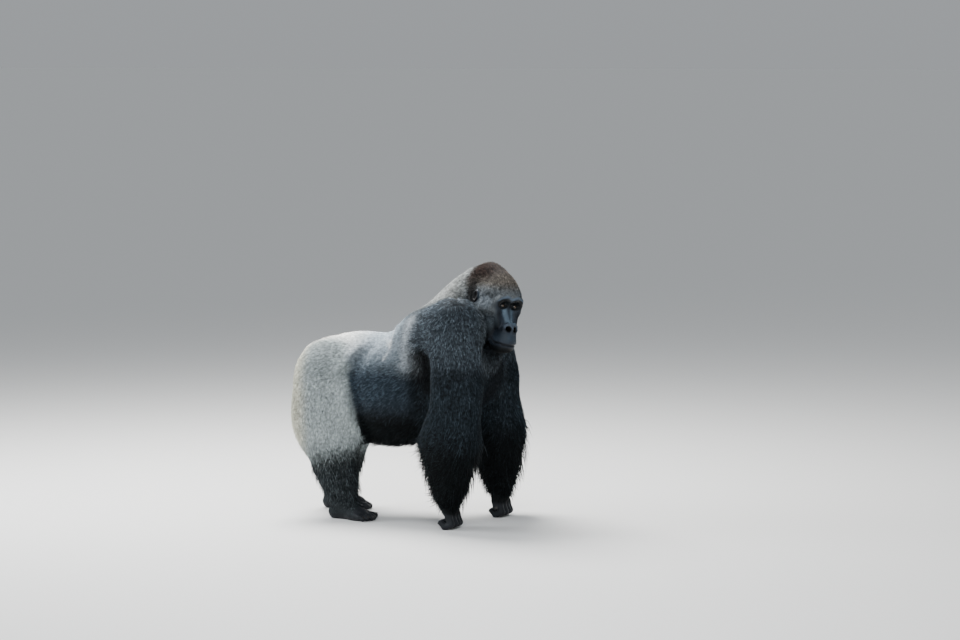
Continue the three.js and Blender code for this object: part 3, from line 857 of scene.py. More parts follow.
def limb_weight(p, line, reach):
    place, far = line_place(p, line)
    return place, smooth(reach, reach - 0.05, far)


def coat_colour(p):
    """The colour of the coat's hairs near their tips, with light and shade painted in: a blue cast of sky
    light in the darker tones, highlights on the back, waist folds, shoulder edge, nape and temples, and shade
    behind the arms and under the chin.
    """
    x, y, z = p.T
    m, q = folded(p), to_head(p)
    # dark blue-grey base: the hair's own dark grey with a painted blue cast of sky light
    tone = np.tile([0.030, 0.038, 0.047], (len(p), 1))
    tone = painted(tone, (0.012, 0.015, 0.019), smooth(0.84, 0.70, z) * smooth(0.22, 0.32, x))
    behind = smooth(0.18, -0.02, x + 0.3 * (z - 0.8))
    tone = painted(tone, (0.041, 0.059, 0.078), behind * smooth(0.47, 0.60, z))
    saddle = behind * smooth(0.66, 0.86, z + 0.16 * smooth(-0.15, -0.4, x))
    tone = painted(tone, (0.370, 0.435, 0.485), saddle)
    # lighter on top of the back towards the rump: partly the saddle's own silver, partly painted light
    # falling from above
    tone = painted(tone, (0.880, 0.880, 0.840), behind * smooth(0.72, 0.84, z) * smooth(-0.12, -0.32, x))
    tone = painted(tone, (0.005, 0.007, 0.008), smooth(0.56, 0.46, z) * smooth(0.30, 0.15, x))
    # painted highlights along the tops of the waist folds
    for path in WAIST_FOLDS:
        tone = painted(tone, (0.700, 0.730, 0.750), near_line(m, path, 0.009))
    upwards = np.array((GROIN + THIGH_EDGE[1:])[::-1])
    edge = np.interp(z, upwards[:, 2], upwards[:, 0]) - 0.02 * smooth(0.73, 0.69, z)
    soft = 0.014 + 0.10 * smooth(0.66, 0.80, z)
    on_hip = smooth(edge + soft, edge - soft, m[:, 0])
    for side, line in LEG.items():
        place, w = limb_weight(p, line, 0.24)
        w = w * on_hip
        outer = smooth(0.06, 0.13, side * y) * w
        tone = painted(tone, (0.360, 0.410, 0.415), outer * smooth(1.42, 0.80, place))
        rear = smooth(0.03, 0.12, line[1][0] - x)
        tone = painted(tone, (0.620, 0.600, 0.470), outer * rear * smooth(1.1, 0.8, place) * 0.8)
        tone = painted(tone, (0.036, 0.044, 0.048), w * smooth(1.05, 1.50, place))
    rump = smooth(-0.30, -0.44, x) * smooth(0.62, 0.80, z) * smooth(0.17, 0.07, np.abs(y))
    tone = painted(tone, (0.640, 0.630, 0.540), rump)
    for side, line in ARM.items():
        place, w = limb_weight(p, line, 0.22)
        tone = painted(tone, (0.052, 0.066, 0.080), w * smooth(-0.1, 0.1, x) * smooth(0.5, 0.2, place))
        w = w * smooth(-0.05, 0.05, x)
        tone = painted(tone, (0.018, 0.026, 0.033), w * smooth(0.2, 0.6, place))
        tone = painted(tone, (0.006, 0.008, 0.009), w * smooth(0.90, 1.25, place))
    # painted shadow in the hollow behind the upper arm
    armpit_shade = smooth(0.09, 0.03, off_line(m, ARM_BACK) ** 2 / 0.09)
    tone = painted(tone, (0.003, 0.004, 0.005), armpit_shade)
    # painted highlight: a bright rim of light along the shoulder's rear edge
    tone = painted(tone, (0.480, 0.530, 0.570), near_line(m, SHOULDER_EDGE, 0.038) * 0.75)
    # the nape lighter: partly its own grizzled grey, partly a painted rim of light from above and behind
    nape = smooth(-0.04, 0.10, x) * smooth(0.92, 1.04, z - 0.12 * smooth(0.25, 0.4, x))
    tone = painted(tone, (0.320, 0.335, 0.325), nape * smooth(0.2, 0.1, np.abs(y)) * 0.9)
    h = smooth(1.35, 0.80, from_middle(q))
    tone = painted(tone, (0.150, 0.168, 0.180), h * 0.9)
    tone = painted(tone, (0.062, 0.078, 0.092), h * smooth(-20, -60, q[:, 2]))
    # painted highlight of sky light on the grizzled fur between ear and eye
    temple_sky_light = np.linalg.norm((mirrored(q) - [-62, 86, 8]) / [46, 40, 34], axis=1)
    tone = painted(tone, (0.195, 0.225, 0.252), h * smooth(1.3, 0.6, temple_sky_light))
    tone = painted(tone, (0.086, 0.076, 0.065), h * smooth(52, 92, q[:, 2]) * smooth(-235, -150, q[:, 0]))
    band = smooth(-275, -240, q[:, 0] - 0.3 * q[:, 2]) * smooth(-5, -90, q[:, 0])
    tone = painted(tone, (0.018, 0.011, 0.009), h * smooth(80, 128, q[:, 2]) * band)
    by_ear = np.linalg.norm((mirrored(q) - [-134, 92, 58]) / [28, 36, 72], axis=1)
    tone = painted(tone, (0.018, 0.015, 0.014), h * smooth(1.25, 0.6, by_ear) * 0.85)
    tone = painted(tone, (0.010, 0.013, 0.016), h * smooth(-70, -135, q[:, 2]) * 0.9)
    # under the chin, darker than its black hair: the chin's own black with painted shade under the jaw
    chin = smooth(1.5, 1.3, from_middle(q))
    chin = chin * smooth(-80, -30, q[:, 0]) * smooth(95, 65, mirrored(q)[:, 1])
    return painted(tone, (0.003, 0.004, 0.005), chin * smooth(-120, -165, q[:, 2]))


def skin_bareness(p):
    """1 where no hair grows: face, ears, fingers and toes, soles."""
    q = to_head(p)
    m = mirrored(q)
    near_head = head_weight(q) > 0
    none = np.where(near_head, bareness(q), 0.0)
    ear = smooth(1.15, 0.95, np.linalg.norm((m - [-118, 106, 30]) / [24, 17, 33], axis=1))
    none = np.maximum(none, ear * near_head)
    for side in SIDES:
        hand, foot = to_hand(p, side), to_foot(p, side)
        close = np.linalg.norm((p - ARM[side][2])[:, :2], axis=1) < 0.15
        none = np.maximum(none, close * smooth(84, 62, hand[:, 2] + 0.25 * hand[:, 0]))
        close = (np.linalg.norm((p - LEG[side][2])[:, :2], axis=1) < 0.24) & (p[:, 2] < 0.12)
        toes = np.maximum(smooth(BALL - 34, BALL - 14, foot[:, 0]), smooth(30, 20, foot[:, 2]))
        none = np.maximum(none, close * toes)
    return none


def skin_colour(p):
    """The skin's colour: as dark as the coat's shade under hair, black and blue-black where bare, with
    painted highlights on brow, nose and upper lip and painted shade in the sockets, creases, nostrils, mouth
    and ears.
    """
    q = to_head(p)
    m = mirrored(q)
    bare_tone = np.tile([0.014, 0.016, 0.019], (len(p), 1))
    head = smooth(1.5, 1.3, from_middle(q))
    front = head * smooth(-30, 0, q[:, 0])
    bare_tone = painted(bare_tone, (0.016, 0.021, 0.029), head)
    # painted highlight on the top of the brow ridge, lit from above
    lit_brow_rim = smooth(-16, -5, q[:, 2] - brow_top(m[:, 1])) * smooth(14, 24, q[:, 2])
    bare_tone = painted(bare_tone, (0.060, 0.082, 0.110), head * lit_brow_rim)
    # painted highlight and bluish sheen down the flanks of the nose
    nose_highlight = crease(m, [(18, -22), (14, -52), (5, -84)], 11)
    bare_tone = painted(bare_tone, (0.085, 0.125, 0.165), front * nose_highlight)
    # painted sheen on the nose pads
    nose_pad_sheen = np.linalg.norm((m - [34, 14, -90]) / [22, 28, 15], axis=1)
    bare_tone = painted(bare_tone, (0.050, 0.066, 0.088), front * smooth(1.2, 0.8, nose_pad_sheen))
    # painted sheen along the upper lip
    upper_lip = crease(m, [(0, -136), (30, -140), (48, -134)], 16)
    bare_tone = painted(bare_tone, (0.024, 0.034, 0.046), front * upper_lip)
    # painted shade in the eye sockets under the brow
    socket = np.linalg.norm((m - [0, EYE[1] + 1, 10]) / [46, 36, 27], axis=1)
    bare_tone = painted(bare_tone, (0.002, 0.003, 0.004), head * smooth(1.08, 0.90, socket))
    # painted shadow in the crease between cheek and muzzle
    aside = crease(m, [(53, -34), (56, -60), (50, -96), (56, -130)], 13)
    bare_tone = painted(bare_tone, (0.004, 0.006, 0.009), head * aside)
    # painted shade in the nostrils
    nostril = smooth(1.3, 0.9, np.linalg.norm((m - [42, 17, -101]) / [30, 12, 13], axis=1))
    bare_tone = painted(bare_tone, (0.002, 0.002, 0.002), head * nostril)
    chin = smooth(-174, -182, q[:, 2]) * smooth(0, -20, q[:, 2] - mouth_level(q))
    bare_tone = painted(bare_tone, (0.004, 0.005, 0.006), head * chin)
    # painted shade in the slot between the lips
    lip = np.exp(-(((q[:, 2] - mouth_level(q)) / 5.0) ** 2)) * smooth(-50, -36, q[:, 0])
    bare_tone = painted(bare_tone, (0.003, 0.003, 0.004), head * lip * smooth(60, 52, m[:, 1]))
    # the ear's own black skin, darkened further with painted shade in its hollow
    ear = smooth(1.5, 0.9, np.linalg.norm((m - [-116, 112, 31]) / [18, 16, 27], axis=1))
    bare_tone = painted(bare_tone, (0.004, 0.004, 0.005), head * ear)
    share = skin_bareness(p)[:, None]
    return coat_colour(p) * 0.5 * (1 - share) + bare_tone * share


def give_colour(mesh, name, colours):
    layer = mesh.color_attributes.new(name=name, type="FLOAT_COLOR", domain="POINT")
    rgba = np.ones((len(colours), 4), np.float32)
    rgba[:, :colours.shape[1]] = colours
    layer.data.foreach_set("color", rgba.ravel())


# ------------------------------------------------------------------ materials

def material(name, roughness):
    made = bpy.data.materials.new(name)
    made.use_nodes = True
    shader = made.node_tree.nodes["Principled BSDF"]
    shader.inputs["Roughness"].default_value = roughness
    return made, made.node_tree, shader


def node(tree, kind, settings=(), **links):
    """A shader node with its inputs set or linked, by name or, as i0, i1 and so on, by number."""
    made = tree.nodes.new(kind)
    for key, value in settings:
        setattr(made, key, value)
    for key, value in links.items():
        socket = made.inputs[int(key[1:])] if key[0] == "i" and key[1:].isdigit() else made.inputs[key]
        if isinstance(value, bpy.types.NodeSocket):
            tree.links.new(value, socket)
        else:
            socket.default_value = value
    return made


def mottled(tree, shader, scale, share, stretch=(1, 1, 1), detail=4.0):
    """The painted colour, made lighter and darker by a noise of the object's own space."""
    paint = node(tree, "ShaderNodeAttribute", [("attribute_name", "colour")])
    place = node(tree, "ShaderNodeTexCoord")
    size = node(tree, "ShaderNodeMapping", i0=place.outputs["Object"], Scale=stretch)
    noise = node(tree, "ShaderNodeTexNoise", Vector=size.outputs[0], Scale=scale, Detail=detail)
    strength = node(tree, "ShaderNodeMapRange", i0=noise.outputs[0], i1=0.33, i2=0.67,
                    i3=1 - share, i4=1 + share)
    mix = node(tree, "ShaderNodeVectorMath", [("operation", "SCALE")],
               i0=paint.outputs["Color"], Scale=strength.outputs[0])
    tree.links.new(mix.outputs[0], shader.inputs["Base Color"])
    return place, noise


def bumped(tree, shader, heights, distance, strength):
    bump = node(tree, "ShaderNodeBump", Height=heights, Distance=distance, Strength=strength)
    tree.links.new(bump.outputs[0], shader.inputs["Normal"])


def skin_material():
    made, tree, shader = material("gorilla_skin", 0.5)
    place, _ = mottled(tree, shader, 26.0, 0.22)
    bare_mask = node(tree, "ShaderNodeAttribute", [("attribute_name", "bareness")])
    pores = node(tree, "ShaderNodeTexVoronoi", Vector=place.outputs["Object"], Scale=620.0)
    hairs = node(tree, "ShaderNodeTexNoise", Vector=place.outputs["Object"], Scale=380.0, Detail=3.0)
    height = node(tree, "ShaderNodeMix", i0=bare_mask.outputs["Fac"],
                  i2=hairs.outputs[0], i3=pores.outputs[0])
    bumped(tree, shader, height.outputs[0], 0.0010, 0.4)
    shader.inputs["Specular IOR Level"].default_value = 0.12
    rough = node(tree, "ShaderNodeMapRange", i0=bare_mask.outputs["Fac"], i1=0.0, i2=1.0, i3=0.8, i4=0.44)
    tree.links.new(rough.outputs[0], shader.inputs["Roughness"])
    return made


def coat_material(name, speckle):
    made, tree, shader = material(name, 0.62)
    place, _ = mottled(tree, shader, 75.0, speckle, detail=6.0)
    shader.inputs["Specular IOR Level"].default_value = 0.06
    fine = node(tree, "ShaderNodeTexNoise", Vector=place.outputs["Object"], Scale=900.0, Detail=2.0)
    bumped(tree, shader, fine.outputs[0], 0.0006, 0.4)
    return made


# ------------------------------------------------------------------ the coat

CHOICE = np.random.default_rng(20240607)
HAIR_ROOM = np.array(CAD_BOX) + np.array([[-0.020, -0.020, 0.004], [0.020, 0.020, 0.020]])


def shape_of_skin(mesh):
    """The skin's triangles: corners, their normals, and areas."""
    points = points_of(mesh)
    normals = np.empty(len(mesh.vertices) * 3, np.float32)
    mesh.vertex_normals.foreach_get("vector", normals)
    mesh.calc_loop_triangles()
    corners = np.empty(len(mesh.loop_triangles) * 3, np.int32)
    mesh.loop_triangles.foreach_get("vertices", corners)
    corners = corners.reshape(-1, 3)
    a, b, c = (points[corners[:, k]] for k in range(3))
    area = np.linalg.norm(np.cross(b - a, c - a), axis=1) / 2
    return points, normals.reshape(-1, 3), corners, area


def roots(shape, density):
    """Seeded places on the skin, so many to the square metre, with the skin's normal at each."""
    points, normals, corners, area = shape
    centre = points[corners].mean(1)
    count = np.floor(area * density(centre) + CHOICE.random(len(area))).astype(int)
    chosen = np.repeat(np.arange(len(area)), count)
    u, v = CHOICE.random((2, len(chosen)))
    over = u + v > 1
    u, v = np.where(over, 1 - u, u), np.where(over, 1 - v, v)
    weights = np.stack([1 - u - v, u, v], axis=1)[..., None]
    return (points[corners[chosen]] * weights).sum(1), unit((normals[corners[chosen]] * weights).sum(1))


def lay(p, n):
    """Which way the coat lies: back and down on the trunk, down the limbs, back over the crown."""
    x, _, z = p.T
    none = np.zeros(len(p))
    chest = smooth(0.20, 0.34, x)
    fall = -0.25 - 0.5 * smooth(0.8, 0.5, z) - chest
    way = unit(np.stack([-0.9 * (1 - chest) + 0.15 * chest, none, fall], axis=1))
    for lines, reach in ((ARM, 0.20), (LEG, 0.22)):
        for side, line in lines.items():
            place, w = limb_weight(p, line, reach)
            down = np.where((place > 1)[:, None], unit(line[2] - line[1]), unit(line[1] - line[0]))
            back = smooth(0.75, 1.15, place) * (0.75 if lines is ARM else 0.15)
            down = unit(down + back[:, None] * np.array([-1.0, 0.25 * side, 0.25]))
            if lines is ARM:
                w = w * smooth(0.0, 0.35, place)
            way = way + (down - way) * (w * smooth(-0.1, 0.25, place))[:, None]
    q = to_head(p)
    rise = 0.9 * smooth(30, 80, q[:, 2]) * smooth(-120, -40, q[:, 0]) - 1.2 * smooth(-150, -200, q[:, 0]) \
        - 0.9 * smooth(20, -80, q[:, 2])
    own = np.stack([none - 1, none, rise], axis=1)
    part = smooth(0, 40, np.abs(q[:, 1]))[:, None] * np.sign(q[:, 1:2]) * [0, 0.25, 0]
    own = unit(own + part) @ HEAD_TURN.T
    way = way + (own - way) * head_weight(q)[:, None]
    return unit(way - n * np.sum(way * n, axis=1, keepdims=True))


def curved(p, n, depth, stretch, wild, shag):
    """Lines for hairs to follow: root, knee and tip, and the way across; tips near the coat's surface."""
    count = len(p)
    t = lay(p, n)
    swing = CHOICE.normal(0, wild, (count, 1))
    t = unit(t + swing * np.cross(n, t))
    b = np.cross(n, t)
    length = (depth * stretch * CHOICE.uniform(0.75, 1.15, count))[:, None]
    start = p - n * 0.0015
    tip = p + t * length + b * length * (0.4 * swing + CHOICE.normal(0, wild * 0.35, (count, 1)))
    wanted = depth * (1 - CHOICE.uniform(0.70, shag, count))
    climb = np.clip(-sampled(coat_surface, tip) - wanted, 0.15 * depth, (shag + 0.25) * depth)[:, None]
    tip = np.clip(tip + n * climb, *HAIR_ROOM)
    knee = start + (tip - start) * 0.45 + n * climb * 0.28
    return start, knee, tip, b


def locks(p, n, depth, stretch, width, wild, shag):
    """Thin closed locks of hair: three-sided, bent once.

    Returns their points, seven to a lock, triangles, quads, and how far along each point is.
    """
    count = len(p)
    start, knee, tip, b = curved(p, n, depth, stretch, wild, shag)
    width = (width * CHOICE.uniform(0.7, 1.25, count))[:, None]
    up = unit(np.cross(unit(tip - start), b))
    ring = []
    for centre, size in ((start, 0.8), (knee, 1.0)):
        ring += [centre + b * width * size * 0.5 - up * width * 0.12,
                 centre - b * width * size * 0.5 - up * width * 0.12,
                 centre + up * width * size * 0.34]
    points = np.stack(ring + [tip], axis=1)
    first_point = np.arange(count)[:, None, None] * 7
    triangles = (first_point + [[0, 1, 2], [3, 6, 4], [4, 6, 5], [5, 6, 3]]).reshape(-1, 3)
    quads = (first_point + [[0, 3, 4, 1], [1, 4, 5, 2], [2, 5, 3, 0]]).reshape(-1, 4)
    return points, triangles, quads, np.array([0, 0, 0, 0.45, 0.45, 0.45, 1.0])


def spikes(p, n, depth, stretch, width, wild, shag):
    """Short fur: thin closed tufts of four faces."""
    count = len(p)
    start, knee, tip, b = curved(p, n, depth, stretch, wild, shag)
    width = (width * CHOICE.uniform(0.7, 1.25, count))[:, None]
    top = start + (knee - start) * 0.7 + n * width * 0.4
    points = np.stack([start + b * width / 2, start - b * width / 2, top, tip], axis=1)
    first_point = np.arange(count)[:, None, None] * 4
    triangles = (first_point + [[0, 3, 1], [1, 3, 2], [2, 3, 0], [0, 1, 2]]).reshape(-1, 3)
    return points, triangles, np.zeros((0, 4), int), np.array([0, 0, 0.35, 1.0])


def region_of(p):
    """The name of the part of the body each point is on."""
    x, y, z = p.T
    name = np.where(y > 0, "trunk_left", "trunk_right").astype("<U16")
    q = to_head(p)
    to_neck = (x > 0.16) & (z > 0.74) & (np.abs(y + 0.04) < 0.21)
    name[to_neck] = "neck"
    for side, line in ARM.items():
        place, far = line_place(p, line)
        near = (far < 0.175) & (side * y > 0.09) & (z < 0.98)
        name[near & (place <= 1)] = "upper_arm_" + SIDES[side]
        name[near & (place > 1)] = "forearm_" + SIDES[side]
    for side, line in LEG.items():
        place, far = line_place(p, line)
        near = (x < -0.17) & (z < 0.66) & (side * y > 0) & ((far < 0.19) | (z < 0.3))
        name[near & (place <= 1)] = "thigh_" + SIDES[side]
        name[near & (place > 1)] = "shank_" + SIDES[side]
    name[head_weight(q) > 0.45] = "head"
    return name


def chart(region, p):
    """A place on the unwrap of the skin round a part of the body, both ways from 0 to 1."""
    part, _, side = region.rpartition("_")
    lines = {"upper_arm": ARM, "forearm": ARM, "thigh": LEG, "shank": LEG}
    if region == "head":
        q = to_head(p)
        centred, down = q - [-100, 0, 0], (q[:, 2] + 240) / 460
        around = np.arctan2(centred[:, 1], centred[:, 0])
    elif part in lines:
        line = lines[part][LEFT if side == "left" else RIGHT]
        place, _ = line_place(p, line)
        down = place / 2
        axis = line[0] + np.minimum(place, 1)[:, None] * (line[1] - line[0]) \
            + np.maximum(place - 1, 0)[:, None] * (line[2] - line[1])
        around = np.arctan2(p[:, 1] - axis[:, 1], p[:, 0] - axis[:, 0])
    else:
        down = (p[:, 0] + 0.62) / 1.24
        around = np.arctan2(p[:, 1], p[:, 2] - 0.7)
    return np.clip(np.stack([around / (2 * math.pi) + 0.5, down], axis=1), 0, 1) * 0.98 + 0.01


# Layers of hair: locks or spikes, how many to the square metre, length over the coat's depth,
# width, wildness, and the furthest tips over the depth. A second layer grows only on the fringe.
FUR = {
    "trunk": [(spikes, 80000, 2.2, 0.0034, 0.22, 1.08), (locks, 16000, 2.8, 0.0045, 0.35, 2.0)],
    "neck": [(spikes, 110000, 2.1, 0.0032, 0.22, 1.15)],
    "head": [(spikes, 195000, 1.9, 0.0022, 0.20, 1.12)],
    "thigh": [(locks, 54000, 2.4, 0.0036, 0.30, 1.15)],
    "shank": [(locks, 46000, 2.0, 0.0042, 0.26, 1.15), (locks, 12000, 2.9, 0.0042, 0.30, 1.9)],
    "upper_arm": [(locks, 50000, 2.2, 0.0038, 0.26, 1.12)],
    "forearm": [(locks, 56000, 2.1, 0.0044, 0.36, 1.35), (locks, 19000, 3.3, 0.0042, 0.40, 2.2)],
}
SLOTS = {"trunk": "silver_coat", "neck": "grey_coat", "head": "crown_coat", "thigh": "silver_coat",
         "shank": "grey_coat", "upper_arm": "grey_coat", "forearm": "dark_coat"}


def fringe(p):
    """Where longer hair hangs out of the coat: under the belly, and round the forearms and shanks."""
    x, _, z = p.T
    share = smooth(0.52, 0.44, z) * smooth(-0.17, -0.10, x) * smooth(0.30, 0.20, x)
    for line in ARM.values():
        place, w = limb_weight(p, line, 0.16)
        share = np.maximum(share, w * smooth(0.95, 1.25, place) * smooth(1.96, 1.86, place))
    for line in LEG.values():
        place, w = limb_weight(p, line, 0.16)
        share = np.maximum(share, w * smooth(1.10, 1.35, place) * smooth(1.90, 1.75, place))
    return share


def grown(region, own_shape, layer, hangs):
    """One layer of hair: points, triangles, quads, colours, places on the unwrap, and normals."""
    kind, number, stretch, width, wild, shag = layer
    number = number * 1.0
    p, n = roots(
        own_shape,
        lambda at: number * smooth(0.55, 0.15, skin_bareness(at)) * (fringe(at) if hangs else 1.0),
    )
    depth = np.clip(-sampled(coat_surface, p), 0.003, 0.06) * (1 - 0.75 * skin_bareness(p))
    width = np.minimum(width, depth * 0.5 + 0.001)
    points, triangles, quads, reach = kind(p, n, depth, stretch, width, wild, shag)
    tone = coat_colour(p)
    grizzle = CHOICE.random(len(p))[:, None]
    dark = smooth(0.22, 0.06, tone.mean(1))[:, None]
    even = 0.62 + 0.70 * grizzle
    rough = 0.45 + 1.15 * grizzle ** 2 + np.where(grizzle > 0.90, 1.1, 0.0)
    tip = tone * (even + (rough - even) * dark)
    # roots darker than tips: painted shade deep inside the coat
    root = tone * (0.5 - 0.15 * dark)
    share = reach[None, :, None]
    colours = root[:, None] * (1 - share) + tip[:, None] * share
    across = np.array([0.0012, -0.0012, 0.0, 0.001, -0.001, 0.0, 0.0])[:len(reach)]
    spot = np.stack([across, (reach - 0.5) * 0.0026], axis=1)
    flat = chart(region, p)[:, None] + spot[None]
    normals = np.repeat(n, len(reach), axis=0)
    return points.reshape(-1, 3), triangles, quads, colours.reshape(-1, 3), flat.reshape(-1, 2), normals


def part_of(region):
    return region.removesuffix("_left").removesuffix("_right")


def coat_piece(region, shape, names, finish):
    """The hair that grows on one part of the body."""
    own = names == region
    own_shape = (shape[0], shape[1], shape[2][own], shape[3][own])
    layers = [grown(region, own_shape, layer, hangs) for hangs, layer in enumerate(FUR[part_of(region)])]
    before = np.cumsum([0] + [len(layer[0]) for layer in layers])
    points, colours, flat, normals = (np.concatenate([layer[k] for layer in layers]) for k in (0, 3, 4, 5))
    triangles, quads = (np.concatenate([layer[k] + at for layer, at in zip(layers, before)]) for k in (1, 2))
    mesh = mesh_from("coat_" + region, points, [triangles, quads])
    give_colour(mesh, "colour", colours)
    corners = np.empty(len(mesh.loops), np.int32)
    mesh.loops.foreach_get("vertex_index", corners)
    unwrap = mesh.uv_layers.new(name="OFBake")
    unwrap.data.foreach_set("uv", flat[corners].astype(np.float32).ravel())
    own_normals = np.empty(len(mesh.vertices) * 3, np.float32)
    mesh.vertex_normals.foreach_get("vector", own_normals)
    mesh.normals_split_custom_set_from_vertices(unit(own_normals.reshape(-1, 3) * 0.55 + normals))
    mesh.materials.append(finish)
    return mesh


def placed(name, mesh):
    """A piece of the model, riding on the body."""
    piece = bpy.data.objects.new(name, mesh)
    bpy.context.scene.collection.objects.link(piece)
    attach(piece, "root")
    return piece


# ------------------------------------------------------------------ eyes and nails

GAZE = unit(np.array([1.0, -0.10, 0.02]))
PUPIL_EDGE, IRIS_EDGE = 0.18, 0.51
# Angles of the eyeball's rings from its gaze, closer together at the edges of pupil and iris.
EYE_RINGS = [0.09, 0.16, 0.175, 0.19, 0.26, 0.34, 0.42, 0.48, 0.51, 0.54, 0.62, 0.8, 1.0, 1.3, 1.7, 2.2, 2.8]


def eyeball(side):
    """An eye: a dark pupil, an amber-brown iris and a brown white, under a bulging cornea."""
    around = np.linspace(0, 2 * math.pi, 48, endpoint=False)
    theta = np.array(EYE_RINGS)
    a, b = np.meshgrid(theta, around, indexing="ij")
    ways = np.stack([np.cos(a), np.sin(a) * np.cos(b), np.sin(a) * np.sin(b)], axis=-1).reshape(-1, 3)
    ways = np.concatenate([ways, [[1, 0, 0], [-1, 0, 0]]])
    turn = np.concatenate([a.ravel(), [0.0, math.pi]])
    size = EYE_RADIUS * (1 + 0.035 * np.exp(-((turn / 0.45) ** 4)))
    across = unit(np.cross(GAZE, [0, 0, 1]))
    basis = np.stack([GAZE, across, np.cross(across, GAZE)])
    q = ways * size[:, None] @ basis + np.array([EYE[0], side * EYE[1], 0])
    rings, sides = len(theta), len(around)
    index = np.arange(rings * sides).reshape(rings, sides)
    nxt = np.roll(index, -1, axis=1)
    quads = np.stack([index[:-1], nxt[:-1], nxt[1:], index[1:]], axis=-1).reshape(-1, 4)
    front, back = rings * sides, rings * sides + 1
    caps = np.concatenate([
        np.stack([np.full(sides, front), nxt[0], index[0]], axis=1),
        np.stack([np.full(sides, back), index[-1], nxt[-1]], axis=1),
    ])
    mesh = mesh_from("eye", from_head(q), [caps, quads[:, ::-1]])
    streaks = 0.5 + 0.5 * np.sin(np.concatenate([b.ravel(), [0, 0]]) * 11)
    tone = np.tile([0.014, 0.009, 0.007], (len(q), 1))
    iris = smooth(IRIS_EDGE + 0.01, IRIS_EDGE - 0.01, turn)
    tone = painted(tone, (0.010, 0.006, 0.004), smooth(0.62, 0.53, turn) * 0.8)
    tone = painted(tone, (0.060, 0.036, 0.019), iris)
    tone = painted(tone, (0.018, 0.010, 0.006), iris * np.maximum(smooth(0.36, 0.48, turn), 0.5 * streaks))
    tone = painted(tone, (0.001, 0.001, 0.001), smooth(PUPIL_EDGE + 0.01, PUPIL_EDGE - 0.01, turn))
    give_colour(mesh, "colour", tone)
    return mesh


def eye_material():
    made, tree, shader = material("eye", 0.06)
    mottled(tree, shader, 700.0, 0.15)
    shader.inputs["Specular IOR Level"].default_value = 0.5
    return made


def nail(at, along_way, out, width, length, curve):
    """A nail's plate, bent across: points and quads, closed."""
    steps = 7
    u, v = np.meshgrid(np.linspace(-1, 1, steps), np.linspace(-1, 1, steps), indexing="ij")
    half = width / 2 * (1 - 0.22 * np.maximum(v, 0) ** 2 * np.abs(u) - 0.12 * np.maximum(-v, 0) ** 2)
    side_way = np.cross(along_way, out)
    drop = curve * u * u + 0.6 * np.maximum(v - 0.2, 0) ** 2
    sheets = []
    for thick in (0.0, -1.8):
        sheets.append(at + (u * half)[..., None] * side_way + (v * length / 2)[..., None] * along_way
                      + (thick - drop)[..., None] * out)
    points = np.concatenate([sheet.reshape(-1, 3) for sheet in sheets])
    index = np.arange(steps * steps).reshape(steps, steps)
    top = np.stack([index[:-1, :-1], index[1:, :-1], index[1:, 1:], index[:-1, 1:]], axis=-1).reshape(-1, 4)
    loop = np.concatenate([index[:-1, 0], index[-1, :-1], index[:0:-1, -1], index[0, :0:-1]])
    after = np.roll(loop, -1)
    wall = np.stack([after, loop, loop + steps * steps, after + steps * steps], axis=1)
    return points, np.concatenate([top[:, ::-1], top + steps * steps, wall])


def nails(side, of_hand):
    """The nails of one hand or foot, each on the outer face of its last joint."""
    points, faces, count = [], [], 0
    if of_hand:
        ends = []
        for i in range(4):
            y, short = (i - 1.5) * HAND_SPREAD, 5 if i in (0, 3) else 0
            ends.append(((-2, y, 11), (-28 + short, y, 30), FINGER - 3, (0, 0, -1)))
        ends.append((*THUMB[1:], THUMB_TIP, (0.75, -0.65, 0)))
    else:
        ends = [(*toe_path(k)[1:], 11.6, (0, 0, 1)) for k in range(4)] + [(*GREAT_TOE[1:], 14.5, (0, 0, 1))]
    for a, b, radius, facing in ends:
        way = unit(np.array(b, float) - a)
        out = np.array(facing, float)
        out = unit(out - way * (out @ way))
        spot = np.array(b, float) + way * radius * 0.15 + out * (radius + 0.3)
        own, quads = nail(spot, way, out, radius * 1.25, radius * 1.25, radius * 0.22)
        points.append(own)
        faces.append(quads + count)
        count += len(own)
    whole = (from_hand if of_hand else from_foot)(np.concatenate(points), side)
    quads = np.concatenate(faces)
    mesh = mesh_from("nails", whole, [quads[:, ::-1] if side == RIGHT else quads])
    give_colour(mesh, "colour", np.tile([0.018, 0.017, 0.016], (len(whole), 1)))
    return mesh


def nail_material():
    made, tree, shader = material("nail", 0.35)
    _, noise = mottled(tree, shader, 160.0, 0.3, (1, 1, 0.3))
    bumped(tree, shader, noise.outputs[0], 0.0004, 0.4)
    return made


# ------------------------------------------------------------------ the pieces

skin_mesh = make_skin()
skin_points = points_of(skin_mesh)
give_colour(skin_mesh, "colour", skin_colour(skin_points))
bareness_layer = skin_mesh.attributes.new("bareness", "FLOAT", "POINT")
bareness_layer.data.foreach_set("value", skin_bareness(skin_points).astype(np.float32))
skin_mesh.materials.append(skin_material())
skin = placed("skin", skin_mesh)
limbs = [f"{part}_{name}" for name in SIDES.values()
         for part in ("upper_arm", "forearm", "hand", "thigh", "shank", "foot", "ear")]
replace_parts(skin, "trunk", "neck", "head", *limbs)

eye_finish, nail_finish = eye_material(), nail_material()
for side, name in SIDES.items():
    mesh = eyeball(side)
    mesh.materials.append(eye_finish)
    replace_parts(placed("eyeball_" + name, mesh), "eye_" + name)
    for of_hand, end in ((True, "hand"), (False, "foot")):
        mesh = nails(side, of_hand)
        mesh.materials.append(nail_finish)
        placed(f"nails_{end}_{name}", mesh)

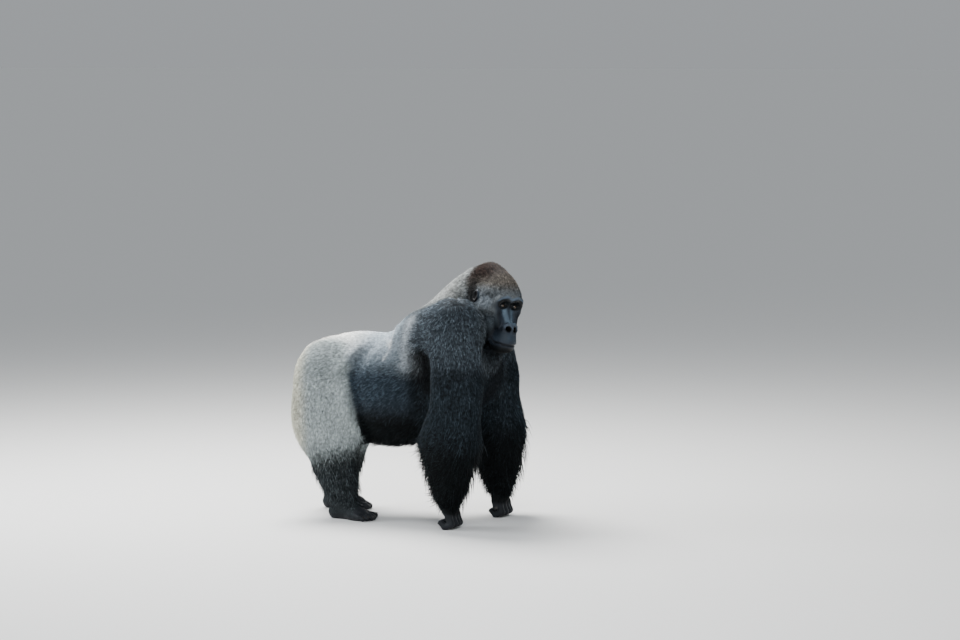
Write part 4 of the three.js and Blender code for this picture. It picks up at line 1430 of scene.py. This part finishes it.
shape = shape_of_skin(skin_mesh)
names = region_of(shape[0][shape[2]].mean(1))
finishes = {slot: coat_material("fur_" + slot, speckle) for slot, speckle in (
    ("silver_coat", 0.35), ("grey_coat", 0.60), ("dark_coat", 0.60), ("crown_coat", 0.60),
)}
coat_faces = 0
for region in sorted(set(names)):
    slot = SLOTS[part_of(region)]
    mesh = coat_piece(region, shape, names, finishes[slot])
    placed("coat_" + region, mesh)
    mesh.calc_loop_triangles()
    coat_faces += len(mesh.loop_triangles)
    log(f"coat_{region}: {len(mesh.loop_triangles)} triangles")
log(f"coat: {coat_faces} triangles, skin: {len(shape[3])}")


# ------------------------------------------------------------------ floor and light

def floor():
    made, _, shader = material("floor", 0.85)
    shader.inputs["Base Color"].default_value = (0.80, 0.80, 0.79, 1)
    reach = 400.0
    corners = [(-reach, -reach, 0), (reach, -reach, 0), (reach, reach, 0), (-reach, reach, 0)]
    mesh = mesh_from("floor", corners, [[(0, 1, 2, 3)]])
    mesh.materials.append(made)
    piece = bpy.data.objects.new("floor", mesh)
    bpy.context.scene.collection.objects.link(piece)


def lamp(name, place, size, power, colour):
    data = bpy.data.lights.new(name, "AREA")
    data.shape, data.size, data.energy, data.color = "DISK", size, power, colour
    lamp_object = bpy.data.objects.new(name, data)
    lamp_object.location = place
    lamp_object.rotation_euler = (Vector((0, 0, 0.6)) - Vector(place)).to_track_quat("-Z", "Y").to_euler()
    bpy.context.scene.collection.objects.link(lamp_object)


def studio():
    """An even pale room, a little darker at the horizon so that it meets the floor."""
    world = bpy.data.worlds.new("studio")
    world.use_nodes = True
    tree = world.node_tree
    way = node(tree, "ShaderNodeSeparateXYZ", Vector=node(tree, "ShaderNodeTexCoord").outputs["Generated"])
    height = node(tree, "ShaderNodeMapRange", i0=way.outputs["Z"], i1=0.0, i2=0.3)
    tone = node(tree, "ShaderNodeMix", [("data_type", "RGBA")], i0=height.outputs[0],
                i6=(0.66, 0.69, 0.72, 1), i7=(0.82, 0.86, 0.90, 1))
    tree.links.new(tone.outputs[2], tree.nodes["Background"].inputs["Color"])
    tree.nodes["Background"].inputs["Strength"].default_value = 0.55
    bpy.context.scene.world = world


floor()
lamp("key", (-1.4, 1.0, 4.4), 2.6, 520, (1.0, 0.99, 0.97))
lamp("front", (2.2, -4.4, 3.6), 3.0, 190, (0.96, 0.98, 1.0))
lamp("rear", (-3.8, -1.6, 2.2), 2.4, 150, (0.95, 0.97, 1.0))
studio()
